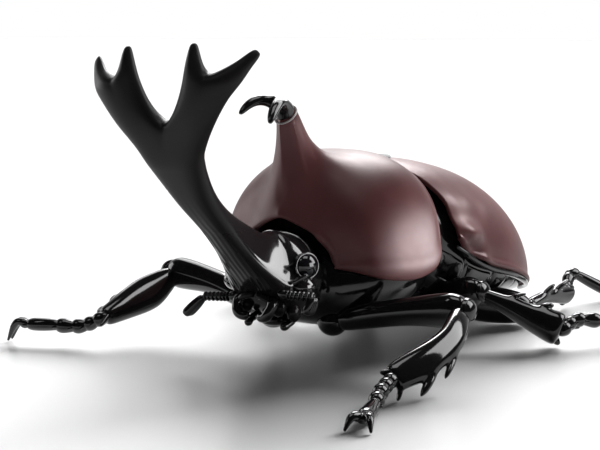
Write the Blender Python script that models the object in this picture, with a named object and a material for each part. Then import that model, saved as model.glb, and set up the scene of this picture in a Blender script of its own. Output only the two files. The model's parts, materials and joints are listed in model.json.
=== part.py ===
"""A male Japanese rhinoceros beetle, life size, as an assembled plastic model standing on its six feet.

Lengths below are millimetres. X is the beetle's left, Y runs from the head to the tail, Z is up,
and the floor is Z = 0. The middle of the pronotum's rear margin stands over the working origin.
At the end an empty carries every piece, so that the origin is the middle of the object's base.
"""

import math

import bmesh
import bpy
from mathutils import Vector

MM = 0.001
GAP = 0.3
SIDES = {"left": 1.0, "right": -1.0}

# Driving sizes of the body.
PRONOTUM_HALF_WIDTH = 12.7
PRONOTUM_FRONT = -17.4
ELYTRA_HALF_WIDTH = 14.2
ELYTRA_FRONT = 1.3
ELYTRA_REAR = 31.6
ELYTRON_WALL = 1.1
WAIST = 13.2
SUTURE = 0.15

BLACK = (0.012, 0.011, 0.012)
EYE_BLACK = (0.005, 0.005, 0.006)
BROWN = (0.12, 0.035, 0.035)
TIP_BROWN = (0.03, 0.012, 0.012)


def clear_scene():
    for obj in list(bpy.data.objects):
        bpy.data.objects.remove(obj)


def material(name, colour, roughness):
    made = bpy.data.materials.new(name)
    made.use_nodes = True
    shader = made.node_tree.nodes["Principled BSDF"]
    shader.inputs["Base Color"].default_value = (*colour, 1.0)
    shader.inputs["Roughness"].default_value = roughness
    shader.inputs["Metallic"].default_value = 0.0
    return made


def between(stops, t):
    """The smooth value at t through stops of (t, value, ...), each value by the same rule."""
    if t <= stops[0][0]:
        return stops[0][1:]
    if t >= stops[-1][0]:
        return stops[-1][1:]
    k = max(i for i, stop in enumerate(stops[:-1]) if stop[0] <= t)
    before, start, end = stops[max(k - 1, 0)], stops[k], stops[k + 1]
    after = stops[min(k + 2, len(stops) - 1)]
    span = end[0] - start[0]
    u = (t - start[0]) / span
    found = []
    for c in range(1, len(start)):
        slope_in = (end[c] - before[c]) / (end[0] - before[0]) * span
        slope_out = (after[c] - start[c]) / (after[0] - start[0]) * span
        found.append(
            (2 * u**3 - 3 * u**2 + 1) * start[c]
            + (u**3 - 2 * u**2 + u) * slope_in
            + (3 * u**2 - 2 * u**3) * end[c]
            + (u**3 - u**2) * slope_out
        )
    return found


def skin(name, rings, origin, look, halves=""):
    """A closed solid over rings of points, each ring with as many points as the next.

    Where halves is named, each ring is an upper row of points and then a lower row that comes back
    under it, and the ends are closed by strips between the two. The rows are of equal length where
    it is "even", and where it is "shared" the upper row's end points serve both.
    """
    bm = bmesh.new()
    rows = [[bm.verts.new((p - origin) * MM) for p in ring] for ring in rings]
    count = len(rows[0])
    for low, high in zip(rows, rows[1:]):
        for i in range(count):
            j = (i + 1) % count
            bm.faces.new((low[i], low[j], high[j], high[i]))
    for row in (rows[0], rows[-1]):
        if not halves:
            bm.faces.new(row)
            continue
        for i in range(count // 2):
            if halves == "even":
                corners = [row[i], row[i + 1], row[count - i - 2], row[count - i - 1]]
            else:
                corners = [row[i], row[i + 1], row[count - i - 1], row[(count - i) % count]]
            if len(set(corners)) > 2:
                bm.faces.new(list(dict.fromkeys(corners)))
    bmesh.ops.triangulate(bm, faces=[f for f in bm.faces if len(f.verts) > 4])
    bmesh.ops.recalc_face_normals(bm, faces=bm.faces)
    mesh = bpy.data.meshes.new(name)
    bm.to_mesh(mesh)
    bm.free()
    mesh.materials.append(look)
    obj = bpy.data.objects.new(name, mesh)
    bpy.context.scene.collection.objects.link(obj)
    obj.location = origin * MM
    return obj


def squircle(angle, power):
    """A point of the unit superellipse at this angle."""
    c, s = math.cos(angle), math.sin(angle)
    return math.copysign(abs(c) ** (2 / power), c), math.copysign(abs(s) ** (2 / power), s)


def limb(name, knots, sizes, look, wide=(0, 0, 1), sides=10, stations=8, grow=0.0, blunt=True, power=2.0):
    """A tube along a smooth path through knots.

    sizes are stops of (share of the length, half-width along wide, half-depth across it).
    Both ends are rounded over their own half-depth, or tapered as sizes say where blunt is off.
    """
    knots = [Vector(k) for k in knots]
    lengths = [0.0]
    for a, b in zip(knots, knots[1:]):
        lengths.append(lengths[-1] + (b - a).length)
    total = lengths[-1]
    course = [(d / total, *k) for d, k in zip(lengths, knots)]
    shares = [i / stations for i in range(stations + 1)]
    if blunt:
        first = min(between(sizes, 0.0)) / total
        last = min(between(sizes, 1.0)) / total
        shares = [s for s in shares if first * 1.3 < s < 1 - last * 1.3]
        shares = [0.0, 0.4 * first, first] + shares
        shares += [1 - last, 1 - 0.4 * last, 1.0]
    rings = []
    wide = Vector(wide)
    for share in shares:
        centre = Vector(between(course, share))
        ahead = Vector(between(course, min(share + 0.02, 1.0)))
        behind = Vector(between(course, max(share - 0.02, 0.0)))
        along = (ahead - behind).normalized()
        across = along.cross(wide).normalized()
        upward = across.cross(along).normalized()
        half_wide, half_deep = between(sizes, share)
        fill = 1.0
        if blunt:
            near_start = min(share / first, 1.0)
            near_end = min((1 - share) / last, 1.0)
            fill = math.sqrt(max(1 - (1 - near_start) ** 2, 0.0) * max(1 - (1 - near_end) ** 2, 0.0))
            fill = max(fill, 0.35)
        ring = []
        for i in range(sides):
            u, v = squircle(2 * math.pi * (i + 0.5) / sides, power)
            sideways = upward * u * (half_wide * fill + grow)
            ring.append(centre + sideways + across * v * (half_deep * fill + grow))
        if grow and share in (0.0, 1.0):
            push = along * (grow if share else -grow)
            ring = [p + push for p in ring]
        rings.append(ring)
    return skin(name, rings, knots[0], look)


def ball(name, centre, radii, look, sides=12, rows=7, grow=0.0):
    centre = Vector(centre)
    rings = []
    for k in range(rows + 1):
        lift = -math.pi / 2 + math.pi * (k + 0.15 * (k == 0) - 0.15 * (k == rows)) / rows
        rings.append(
            [
                centre
                + Vector(
                    (
                        (radii[0] + grow) * math.cos(lift) * math.cos(2 * math.pi * i / sides),
                        (radii[1] + grow) * math.cos(lift) * math.sin(2 * math.pi * i / sides),
                        (radii[2] + grow) * math.sin(lift),
                    )
                )
                for i in range(sides)
            ]
        )
    return skin(name, rings, centre, look)


def block(name, low, high, look):
    low, high = Vector(low), Vector(high)
    corners = ((low.x, low.y), (high.x, low.y), (high.x, high.y), (low.x, high.y))
    rings = [[Vector((x, y, z)) for x, y in corners] for z in (low.z, high.z)]
    return skin(name, rings, low, look)


def combine(base, others, operation):
    """Joins others to base, or cuts them from it, and keeps the largest closed surface."""
    tools = bpy.data.collections.new("tools")
    for other in others:
        bpy.context.scene.collection.objects.unlink(other)
        tools.objects.link(other)
    bpy.context.scene.collection.children.link(tools)
    bpy.context.view_layer.update()
    modifier = base.modifiers.new("combine", "BOOLEAN")
    modifier.operand_type = "COLLECTION"
    modifier.collection = tools
    modifier.operation = operation
    modifier.solver = "MANIFOLD"
    graph = bpy.context.evaluated_depsgraph_get()
    result = bpy.data.meshes.new_from_object(base.evaluated_get(graph))
    result.name = base.name
    base.modifiers.clear()
    base.data = result
    for other in others:
        bpy.data.objects.remove(other)
    bpy.data.collections.remove(tools)
    keep_largest(base)
    return base


def keep_largest(obj):
    bm = bmesh.new()
    bm.from_mesh(obj.data)
    left = set(bm.verts)
    islands = []
    while left:
        stack = [left.pop()]
        island = set(stack)
        while stack:
            for edge in stack.pop().link_edges:
                for vert in edge.verts:
                    if vert in left:
                        left.remove(vert)
                        island.add(vert)
                        stack.append(vert)
        islands.append(island)

    def extent(island):
        spans = [max(v.co[k] for v in island) - min(v.co[k] for v in island) for k in range(3)]
        return spans[0] * spans[1] * spans[2]

    largest = max(islands, key=extent)
    bmesh.ops.delete(bm, geom=[v for v in bm.verts if v not in largest], context="VERTS")
    bm.to_mesh(obj.data)
    bm.free()


def shade(obj):
    obj.data.shade_smooth()
    obj.data.set_sharp_from_angle(angle=math.radians(40))


def mirrored(point, side):
    return Vector((point[0] * side, point[1], point[2]))


# The pronotum: the brown shield over the front of the body, a deep dome with an arched front edge
# for the head. Stops are (y, half-width, margin height, crest height, arch under the crest, how
# square its shoulders are).
PRONOTUM = (
    (PRONOTUM_FRONT, 6.3, 11.2, 16.9, 4.9, 2.6),
    (-14.6, 10.2, 10.6, 19.8, 4.8, 2.9),
    (-11.5, 12.2, 9.7, 22.1, 3.0, 3.1),
    (-7.0, PRONOTUM_HALF_WIDTH, 9.2, 24.0, 1.2, 3.0),
    (-3.0, 13.1, 9.7, 24.3, 0.8, 2.7),
    (-0.6, 12.6, 10.6, 23.5, 0.8, 2.6),
    (0.3, 11.8, 11.3, 22.6, 0.8, 2.6),
)
CORNER_SET_BACK = 2.1
CORNER_REACH = 4.0
HORN_FOOT = Vector((0.0, -13.1, 20.0))
HORN_FOOT_RISE = 5.2
HORN_FOOT_SPREAD = (3.3, 2.7)


def pronotum_height(x, y, z):
    """The dome swells up round the foot of the thoracic horn."""
    u = x / HORN_FOOT_SPREAD[0]
    v = (y - HORN_FOOT.y) / HORN_FOOT_SPREAD[1]
    return z + HORN_FOOT_RISE * math.exp(-(u * u + v * v) / 2)


def pronotum_body(name, look, grow=0.0, over=16, stations=12):
    rings = []
    start, end = PRONOTUM[0][0], PRONOTUM[-1][0]
    for k in range(stations + 1):
        y = start + (end - start) * k / stations
        half_wide, margin, crest, arch, power = between(PRONOTUM, y)
        place = y + (grow if k == stations else -grow if k == 0 else 0.0)
        fade = CORNER_SET_BACK * max(0.0, 1 - (y - start) / CORNER_REACH)
        ring = []
        for i in range(over + 1):
            u, v = squircle(math.pi * i / over, power)
            x = u * (half_wide + grow)
            z = margin + v * (crest + grow - margin)
            ring.append(Vector((x, place + fade * u * u, pronotum_height(x, y, z) if v > 0 else z - grow)))
        for i in range(over - 1, 0, -1):
            u = squircle(math.pi * i / over, power)[0]
            rise = arch * (1 - u * u)
            x = u * (half_wide + grow)
            ring.append(Vector((x, place + fade * u * u, margin + rise - 0.6 - grow)))
        rings.append(ring)
    return skin(name, rings, Vector((0.0, 0.0, PRONOTUM[0][2])), look, halves="shared")


# The elytra: the two brown wing cases, a thin dome split along the middle.
# Stops are (y, half-width, margin height, crest height).
ELYTRA = (
    (ELYTRA_FRONT, 11.6, 13.2, 22.4),
    (4.0, 12.9, 11.8, 22.7),
    (9.0, 13.7, 9.4, 22.2),
    (16.0, ELYTRA_HALF_WIDTH, 7.3, 20.4),
    (22.0, 13.2, 5.4, 17.2),
    (27.0, 10.6, 3.6, 12.6),
    (29.9, 7.0, 2.8, 8.4),
    (ELYTRA_REAR, 3.4, 2.6, 5.8),
)
SHOULDER_SET_BACK = 3.4
SHOULDER_REACH = 9.0


def elytron(side_name, side, look, across=10, stations=12):
    """One wing case: a curved shell from the middle seam to its lower rim, open underneath."""
    rings = []
    for k in range(stations + 1):
        y = ELYTRA_FRONT + (ELYTRA_REAR - ELYTRA_FRONT) * k / stations
        half_wide, margin, crest = between(ELYTRA, y)
        fade = SHOULDER_SET_BACK * max(0.0, 1 - (y - ELYTRA_FRONT) / SHOULDER_REACH)
        rows = []
        for inset in (0.0, ELYTRON_WALL):
            row = []
            for i in range(across + 1):
                u, v = squircle(math.pi / 2 * (1 - i / across), 2.3)
                x = max(u * (half_wide - inset), SUTURE)
                row.append(Vector((side * x, y + fade * u * u, margin + v * (crest - inset - margin))))
            rows.append(row)
        rings.append(rows[0] + rows[1][::-1])
    return skin("elytron_" + side_name, rings, Vector((0.0, ELYTRA_FRONT, ELYTRA[0][2])), look, halves="even")


def scutellum(look, grow=0.0):
    """The small black triangle between the roots of the wing cases."""
    stops = ((0.9, 3.4), (2.5, 3.2), (5.0, 2.1), (7.6, 0.5))
    rings = []
    for y, half_wide in stops:
        crest = between(ELYTRA, y)[2] + 0.35
        half_wide += grow
        place = y + (grow if y == stops[-1][0] else 0.0)
        low = crest - 1.7 - grow
        edge = crest - 0.25 + grow
        ring = [
            Vector((-half_wide, place, edge)),
            Vector((0.0, place, crest + grow)),
            Vector((half_wide, place, edge)),
            Vector((half_wide * 0.8, place, low)),
            Vector((0.0, place, low)),
            Vector((-half_wide * 0.8, place, low)),
        ]
        rings.append(ring)
    return skin("scutellum", rings, Vector((0.0, stops[0][0], 22.0)), look)


# The trunk under the wing cases, which it follows a wall and a gap inside them. Its underside has
# stops of (y, height of the belly).
BELLY = (
    (0.6, 5.8),
    (3.0, 4.2),
    (7.0, 3.3),
    (12.0, 3.0),
    (18.0, 2.8),
    (23.0, 2.5),
    (29.6, 2.0),
    (31.4, 2.1),
)
TRUNK_FRONT = 0.6
TRUNK_REAR = 31.4
PYGIDIUM_FRONT = 29.4


def trunk(name, start, end, look, grooves=(), sides=16, stations=6):
    """A length of the trunk. Each groove marks where two segments meet across the belly."""
    places = {start + (end - start) * k / stations for k in range(stations + 1)}
    for groove in grooves:
        places = {p for p in places if abs(p - groove) > 0.6 or p in (start, end)}
        places |= {groove - 0.3, groove, groove + 0.3}
    rings = []
    for y in sorted(places):
        back = SHOULDER_SET_BACK * max(0.0, 1 - (y - ELYTRA_FRONT) / SHOULDER_REACH)
        half_wide, middle, crest = between(ELYTRA, y - back)
        inset = ELYTRON_WALL + GAP + 0.4
        belly = between(BELLY, y)[0]
        dent = 0.3 if y in grooves else 0.0
        ring = []
        for i in range(sides):
            u, v = squircle(2 * math.pi * i / sides, 2.3)
            reach = crest - inset - middle if v > 0 else middle - belly - dent
            ring.append(Vector((u * (half_wide - inset - dent * (v < -0.1)), y, middle + v * reach)))
        rings.append(ring)
    return skin(name, rings, Vector((0.0, start, ELYTRA[0][2])), look)


# The black underside of the front of the body, below the pronotum.
# Stops are (y, half-width, height of the widest line, top, bottom).
PROSTERNUM = (
    (-15.8, 5.4, 8.0, 11.6, 4.8),
    (-13.4, 7.2, 8.0, 12.0, 3.7),
    (-10.0, 9.4, 7.8, 12.4, 3.1),
    (-6.0, 10.6, 8.0, 13.0, 3.4),
    (-2.0, 10.4, 9.0, 14.0, 4.2),
    (0.3, 9.6, 10.0, 15.0, 5.4),
)


def prosternum(look):
    rings = []
    stations, sides = 7, 14
    start, end = PROSTERNUM[0][0], PROSTERNUM[-1][0]
    for k in range(stations + 1):
        y = start + (end - start) * k / stations
        half_wide, middle, top, bottom = between(PROSTERNUM, y)
        ring = []
        for i in range(sides):
            u, v = squircle(2 * math.pi * i / sides, 2.2)
            reach = abs(v) * ((top if v > 0 else bottom) - middle)
            ring.append(Vector((u * half_wide, y, middle + reach)))
        rings.append(ring)
    return skin("prosternum", rings, Vector((0.0, start, 8.0)), look)


# The head. Stops are (y, half-width, height of the widest line, top, bottom).
HEAD = (
    (-22.8, 3.0, 8.5, 10.6, 6.6),
    (-21.6, 4.1, 9.0, 13.8, 6.0),
    (-20.2, 4.9, 9.8, 15.9, 5.8),
    (-18.2, 5.4, 10.5, 16.2, 5.8),
    (-16.0, 5.0, 10.7, 15.5, 6.0),
    (-13.4, 4.2, 10.4, 14.0, 6.4),
)
EYE_CENTRE = Vector((4.75, -18.4, 11.9))
EYE_RADII = (1.35, 1.5, 1.4)


def head(look, grow=0.0, name="head"):
    rings = []
    stations, sides = 8, 16
    start, end = HEAD[0][0], HEAD[-1][0]
    for k in range(stations + 1):
        y = start + (end - start) * k / stations
        half_wide, middle, top, bottom = between(HEAD, y)
        place = y + (grow if k == stations else -grow if k == 0 else 0.0)
        ring = []
        for i in range(sides):
            u, v = squircle(2 * math.pi * i / sides, 2.3)
            reach = abs(v) * ((top + grow if v > 0 else bottom - grow) - middle)
            ring.append(Vector((u * (half_wide + grow), place, middle + reach)))
        rings.append(ring)
    return skin(name, rings, Vector((0.0, start, 10.6)), look)


# The head's horn: a stem that leans forward, then two branches, each with two blunt tines.
# Stops are (y, z, half-width, bulge of the front face, depth to the keel behind, sharpness of the keel).
STEM = (
    (0.0, -19.8, 8.0, 3.7, 0.8, 5.2, 1.5),
    (0.1, -21.2, 9.6, 4.2, 0.8, 5.3, 1.7),
    (0.25, -24.0, 12.3, 3.75, 0.8, 4.4, 2.1),
    (0.42, -27.1, 15.4, 3.1, 0.8, 3.1, 2.0),
    (0.56, -29.6, 17.9, 2.4, 0.9, 2.3, 1.5),
    (0.7, -32.5, 20.7, 2.35, 1.0, 1.5, 1.0),
    (0.82, -34.8, 23.5, 3.0, 1.0, 1.35, 1.0),
    (0.91, -36.3, 25.6, 3.7, 0.95, 1.2, 1.0),
    (1.0, -37.3, 28.2, 4.5, 0.9, 1.05, 1.0),
)
BRANCH_PATH = ((1.9, -36.3, 26.2), (3.4, -37.3, 28.6), (4.8, -38.0, 30.9), (6.0, -38.2, 33.2))
BRANCH_SIZES = ((0.0, 1.7, 1.0), (0.4, 2.0, 1.1), (0.75, 2.1, 1.1), (1.0, 1.9, 1.0))
INNER_TINE = ((5.3, -38.25, 31.4), (5.1, -38.45, 34.4), (4.5, -38.3, 37.55))
OUTER_TINE = ((5.8, -38.2, 31.6), (8.3, -37.6, 33.9), (11.0, -35.9, 36.35))
TINE_SIZES = ((0.0, 1.7, 1.0), (0.45, 1.3, 0.85), (1.0, 0.5, 0.45))
FORK_SEAM = 28.6
FORK_LEAN = 0.04
ACROSS = (1, 0, 0)


def leaned(point, side):
    """The mirrored point of the fork, which leans a little to the right as a whole."""
    found = mirrored(point, side)
    return found + Vector((0.0, 0.0, FORK_LEAN * found.x))


def stem_solid(look, sides=16, stations=11):
    """A three-edged stem: its broad face is in front and its keel behind, and it rounds off upwards."""
    rings = []
    for k in range(stations + 1):
        share = k / stations
        y, z, half_wide, bulge, keel, power = between(STEM, share)
        ahead = Vector((0.0, *between(STEM, min(share + 0.02, 1.0))[:2]))
        behind = Vector((0.0, *between(STEM, max(share - 0.02, 0.0))[:2]))
        along = (ahead - behind).normalized()
        rearward = Vector((0.0, along.z, -along.y))
        ring = []
        for i in range(sides):
            c, s = math.cos(2 * math.pi * i / sides), math.sin(2 * math.pi * i / sides)
            depth = keel * s**power if s > 0 else bulge * s
            x = half_wide * c
            lean = FORK_LEAN * x * max(0.0, (z - 22.0) / 6.0)
            ring.append(Vector((x, y, z + lean)) + rearward * depth)
        rings.append(ring)
    return skin("horn_stem", rings, Vector((0.0, *STEM[0][1:3])), look)


def branch_solid(side, look, name):
    path = [leaned(p, side) for p in BRANCH_PATH]
    inner = [leaned(p, side) for p in INNER_TINE]
    outer = [leaned(p, side) for p in OUTER_TINE]
    body = limb(name, path, BRANCH_SIZES, look, wide=ACROSS, sides=12, stations=6)
    tines = [
        limb("inner", inner, TINE_SIZES, look, wide=ACROSS, sides=10, stations=4),
        limb("outer", outer, TINE_SIZES, look, wide=(0, 0, 1), sides=10, stations=4),
    ]
    return combine(body, tines, "UNION")


def head_horn(look):
    """The stem keeps what is below the fork's seam, and each branch what is above it on its side."""
    far = 60.0
    whole = [branch_solid(side, look, "fork") for side in SIDES.values()]
    stem = combine(stem_solid(look), whole, "UNION")
    branches = []
    for side_name, side in SIDES.items():
        branch = stem.copy()
        branch.data = stem.data.copy()
        branch.name = "horn_branch_" + side_name
        bpy.context.scene.collection.objects.link(branch)
        low, high = sorted((GAP / 2 * side, -far * side))
        other = block("other", (low, -far, 0.0), (high, far, far), look)
        below = block("below", (-far, -far, -far), (far, far, FORK_SEAM + GAP / 2), look)
        combine(branch, [other], "DIFFERENCE")
        branches.append(combine(branch, [below], "DIFFERENCE"))
    above = block("above", (-far, -far, FORK_SEAM - GAP / 2), (far, far, far), look)
    combine(stem, [above], "DIFFERENCE")
    combine(stem, [head(look, grow=GAP, name="clear")], "DIFFERENCE")
    return [stem, *branches]


# The thoracic horn: a stalk that leans forward from the pronotum and ends in a curved, forked hook.
THORACIC_PATH = ((0.0, -11.8, 17.0), (0.0, -13.1, 22.0), (0.0, -14.2, 26.0), (0.0, -15.2, 29.0))
THORACIC_SIZES = ((0.0, 3.4, 3.6), (0.4, 2.9, 3.0), (0.75, 1.75, 1.8), (1.0, 1.3, 1.35))
HOOK_ROOT = Vector((0.0, -15.3, 29.0))
HOOKS = {
    "left": ((0.3, -15.4, 29.3), (1.1, -17.5, 30.7), (1.9, -19.6, 30.1), (2.3, -21.5, 28.4)),
    "right": ((-0.3, -15.4, 29.3), (-1.1, -17.6, 30.6), (-1.9, -19.7, 30.1), (-2.3, -21.6, 29.1)),
}
HOOK_SIZES = ((0.0, 0.95, 0.95), (0.5, 0.8, 0.78), (1.0, 0.42, 0.4))
CROWN_RADII = (1.15, 1.2, 1.05)


def hooks(look, grow=0.0):
    crown = ball("thoracic_horn_tip", HOOK_ROOT, CROWN_RADII, look, sides=10, rows=6, grow=grow)
    tines = [
        limb(name, path, HOOK_SIZES, look, wide=ACROSS, sides=8, stations=6, grow=grow)
        for name, path in HOOKS.items()
    ]
    return combine(crown, tines, "UNION")


def thoracic_horn(stalk_look, hook_look):
    stalk = limb("thoracic_horn", THORACIC_PATH, THORACIC_SIZES, stalk_look, wide=ACROSS, sides=14)
    clear = [hooks(hook_look, grow=GAP), pronotum_body("clear_shield", stalk_look, grow=GAP)]
    combine(stalk, clear, "DIFFERENCE")
    return [stalk, hooks(hook_look)]


def eye(side_name, side, look):
    return ball("eye_" + side_name, mirrored(EYE_CENTRE, side), EYE_RADII, look, sides=10, rows=6)


# The antennae: a smooth scape, a beaded stretch of six rings, and a blunt club that folds back.
ANTENNA = {
    "left": {"root": (3.8, -20.9, 8.8), "bend": (7.6, -20.2, 8.7), "tip": (6.9, -20.9, 6.4)},
    "right": {"root": (-3.6, -21.2, 7.9), "bend": (-7.5, -22.0, 7.5), "tip": (-9.6, -23.3, 5.3)},
}
ANTENNA_RINGS = 6
SCAPE_SHARE = 0.38


def beads(start, rings, thin, thick):
    """Size stops of a row of rings from this share of the length to its end."""
    step = (1 - start) / rings
    stops = []
    for k in range(rings):
        at = start + k * step
        stops += [(at, thin, thin), (at + 0.35 * step, thick, thick), (at + 0.75 * step, thick, thick)]
    return [*stops, (1.0, thin, thin)]


def stepped_tube(name, knots, stops, look, sides=7, grow=0.0, wide=(0, 0, 1)):
    """A tube whose rings stand exactly at its size stops."""
    knots = [Vector(k) for k in knots]
    course = [(i / (len(knots) - 1), *k) for i, k in enumerate(knots)]
    rings = []
    for share, half_wide, half_deep in stops:
        centre = Vector(between(course, share))
        ahead = Vector(between(course, min(share + 0.03, 1.0)))
        behind = Vector(between(course, max(share - 0.03, 0.0)))
        along = (ahead - behind).normalized()
        across = along.cross(Vector(wide)).normalized()
        upward = across.cross(along).normalized()
        if share in (stops[0][0], stops[-1][0]):
            centre += along * (grow if share == stops[-1][0] else -grow)
        rings.append(
            [
                centre
                + upward * math.cos(2 * math.pi * i / sides) * (half_wide + grow)
                + across * math.sin(2 * math.pi * i / sides) * (half_deep + grow)
                for i in range(sides)
            ]
        )
    return skin(name, rings, knots[0], look)


def antenna(side_name, look):
    place = ANTENNA[side_name]
    root, bend, tip = Vector(place["root"]), Vector(place["bend"]), Vector(place["tip"])
    middle = (root + bend) / 2 + Vector((0.0, -0.3, -0.1))
    scape = [(0.0, 0.45, 0.45), (0.12, 0.6, 0.6), (0.3, 0.5, 0.5)]
    stops = scape + beads(SCAPE_SHARE, ANTENNA_RINGS, 0.34, 0.55)
    stalk = stepped_tube("antenna_" + side_name, (root, middle, bend), stops, look)
    lean = (tip - bend).normalized()
    start = bend + lean * 0.2
    sizes = ((0.0, 0.5, 0.45), (0.5, 0.72, 0.6), (1.0, 0.62, 0.55))
    club = limb("antenna_club_" + side_name, (start, (start + tip) / 2, tip), sizes, look, stations=5)
    clear = stepped_tube("clear", (root, middle, bend), stops, look, grow=GAP)
    combine(club, [clear], "DIFFERENCE")
    combine(stalk, [head(look, grow=GAP, name="clear")], "DIFFERENCE")
    return [stalk, club]


def mouthparts(look):
    """Below the horn: a chin plate, and on each side a mandible lobe and a short palp."""
    chin = ((0.0, -16.4, 5.2), (0.0, -18.2, 5.0), (0.0, -19.8, 5.2))
    chin_sizes = ((0.0, 1.5, 0.6), (0.5, 1.7, 0.7), (1.0, 1.2, 0.55))
    made = [limb("mentum", chin, chin_sizes, look, wide=ACROSS, stations=5)]
    lobe_sizes = ((0.0, 0.7, 0.7), (0.6, 0.8, 0.75), (1.0, 0.5, 0.5))
    palp_sizes = ((0.0, 0.4, 0.4), (0.6, 0.5, 0.5), (1.0, 0.36, 0.36))
    for side_name, side in SIDES.items():
        lobe = [mirrored(p, side) for p in ((2.9, -19.9, 7.0), (3.0, -21.2, 6.0), (2.5, -22.5, 5.3))]
        palp = [mirrored(p, side) for p in ((2.5, -17.6, 5.5), (2.8, -18.9, 4.9), (2.5, -20.2, 4.5))]
        made.append(limb("mandible_" + side_name, lobe, lobe_sizes, look, stations=5, sides=8))
        made.append(limb("palp_" + side_name, palp, palp_sizes, look, stations=5, sides=6))
    for piece in made:
        combine(piece, [head(look, grow=GAP, name="clear")], "DIFFERENCE")
    return made


# The legs. Each one's joints in the pose: the shin's bend between knee and ankle, the foot's course,
# and where the teeth or spines along the shin point. The shin is broad that way too, or along
# blade_way.
LEGS = {
    "front_left": {
        "coxa": (4.4, -12.2, 4.3),
        "knee": (21.8, -12.0, 7.4),
        "shin": ((23.4, -16.8, 5.3), (23.0, -21.8, 3.6)),
        "ankle": (21.4, -26.3, 2.2),
        "foot": ((21.9, -29.2, 1.6), (23.4, -33.2, 1.0), (24.9, -37.4, 0.95)),
        "teeth_way": (0.5, -0.2, -0.75),
    },
    "front_right": {
        "coxa": (-4.4, -12.2, 4.3),
        "knee": (-21.6, -10.4, 7.6),
        "shin": ((-21.9, -15.0, 5.7), (-22.1, -19.4, 4.6)),
        "ankle": (-22.5, -23.2, 3.5),
        "foot": ((-25.4, -24.4, 2.3), (-28.8, -26.2, 2.4), (-31.8, -27.2, 2.3)),
        "teeth_way": (-0.8, 0.55, 0.25),
        "blade_way": (-0.54, -0.25, 0.81),
    },
    "middle_left": {
        "coxa": (5.2, 4.6, 4.3),
        "knee": (14.6, 5.0, 6.3),
        "shin": ((18.4, 5.9, 4.9), (22.2, 6.9, 3.2)),
        "ankle": (25.2, 7.8, 2.1),
        "foot": ((25.9, 10.4, 3.1), (28.6, 13.4, 2.6), (31.6, 17.6, 1.0)),
        "teeth_way": (0.3, 0.35, 0.87),
    },
    "middle_right": {
        "coxa": (-5.2, 4.6, 4.3),
        "knee": (-16.0, 6.8, 6.9),
        "shin": ((-19.4, 8.6, 5.5), (-22.6, 10.6, 3.8)),
        "ankle": (-25.4, 12.4, 2.3),
        "foot": ((-27.0, 14.8, 2.6), (-29.2, 18.0, 1.8), (-31.4, 21.6, 1.0)),
        "teeth_way": (-0.3, 0.35, 0.87),
    },
    "hind_left": {
        "coxa": (6.2, 12.2, 3.2),
        "knee": (14.6, 18.4, 2.1),
        "shin": ((14.8, 23.4, 2.7), (14.8, 28.4, 2.4)),
        "ankle": (14.6, 32.4, 1.9),
        "foot": ((13.1, 35.0, 2.8), (12.8, 37.4, 4.0), (14.6, 39.2, 2.8), (17.0, 41.6, 1.0)),
        "teeth_way": (0.5, -0.1, 0.85),
    },
    "hind_right": {
        "coxa": (-6.2, 12.2, 3.2),
        "knee": (-15.4, 19.4, 3.2),
        "shin": ((-16.4, 23.4, 3.2), (-17.3, 27.6, 2.7)),
        "ankle": (-18.0, 31.2, 2.2),
        "foot": ((-18.6, 34.2, 2.8), (-19.8, 37.2, 2.0), (-21.6, 40.6, 1.0)),
        "teeth_way": (-0.5, -0.1, 0.85),
    },
}
COXA_RADII = (1.9, 1.9, 1.8)
HIND_FROM = 8.0
HIND_SWELL = 0.5
TARSUS_SEGMENTS = 5
FRONT_TEETH = ((0.5, 3.1), (0.76, 2.9), (0.98, 2.0))
SHIN_SPINES = ((0.4, 2.0), (0.66, 2.3))
SPIKE_SIZES = ((0.0, 1.3, 0.6), (0.6, 0.75, 0.45), (1.0, 0.35, 0.3))
SPUR_SIZES = ((0.0, 0.9, 0.8), (1.0, 0.35, 0.35))
SPUR_REACH = 1.7


def coxa(name, place, look, grow=0.0):
    return ball(name, place, COXA_RADII, look, sides=10, rows=5, grow=grow)


def shin_sizes(front):
    if front:
        return ((0.0, 0.8, 0.8), (0.15, 1.15, 0.95), (0.5, 1.4, 1.0), (0.8, 1.65, 0.95), (1.0, 1.5, 0.85))
    return ((0.0, 0.7, 0.7), (0.2, 0.85, 0.8), (0.5, 1.1, 0.95), (0.8, 1.4, 1.2), (1.0, 1.75, 1.7))


def spine(name, root, tip, sizes, look, wide, grow):
    knots = (root, (root + tip) / 2, tip)
    return limb(name, knots, sizes, look, wide=wide, sides=6, stations=3, grow=grow, blunt=False)


def shin(name, leg, front, look, grow=0.0):
    """The tibia: broad and toothed along one edge on a front leg, else flared at its foot end."""
    knee, ankle = Vector(leg["knee"]), Vector(leg["ankle"])
    course = [knee, *(Vector(p) for p in leg["shin"]), ankle]
    way = Vector(leg["teeth_way"]).normalized()
    blade = leg.get("blade_way", way)
    body = limb(name, course, shin_sizes(front), look, wide=blade, sides=8, stations=6, grow=grow)
    stops = [(i / (len(course) - 1), *p) for i, p in enumerate(course)]
    along = (ankle - course[-2]).normalized()
    spikes = []
    for k, (share, reach) in enumerate(FRONT_TEETH if front else SHIN_SPINES):
        root = Vector(between(stops, share - 0.04))
        tip = Vector(between(stops, share)) + way * reach + along * 0.4
        spikes.append(spine(f"spike{k}", root, tip, SPIKE_SIZES, look, along, grow))
    if not front:
        for k, turn in enumerate((-1.0, 1.0)):
            root = ankle - along * 2.0
            tip = ankle - along * 0.2 + way * turn * SPUR_REACH
            spikes.append(spine(f"spur{k}", root, tip, SPUR_SIZES, look, (0, 0, 1), grow))
    return combine(body, spikes, "UNION")


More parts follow.
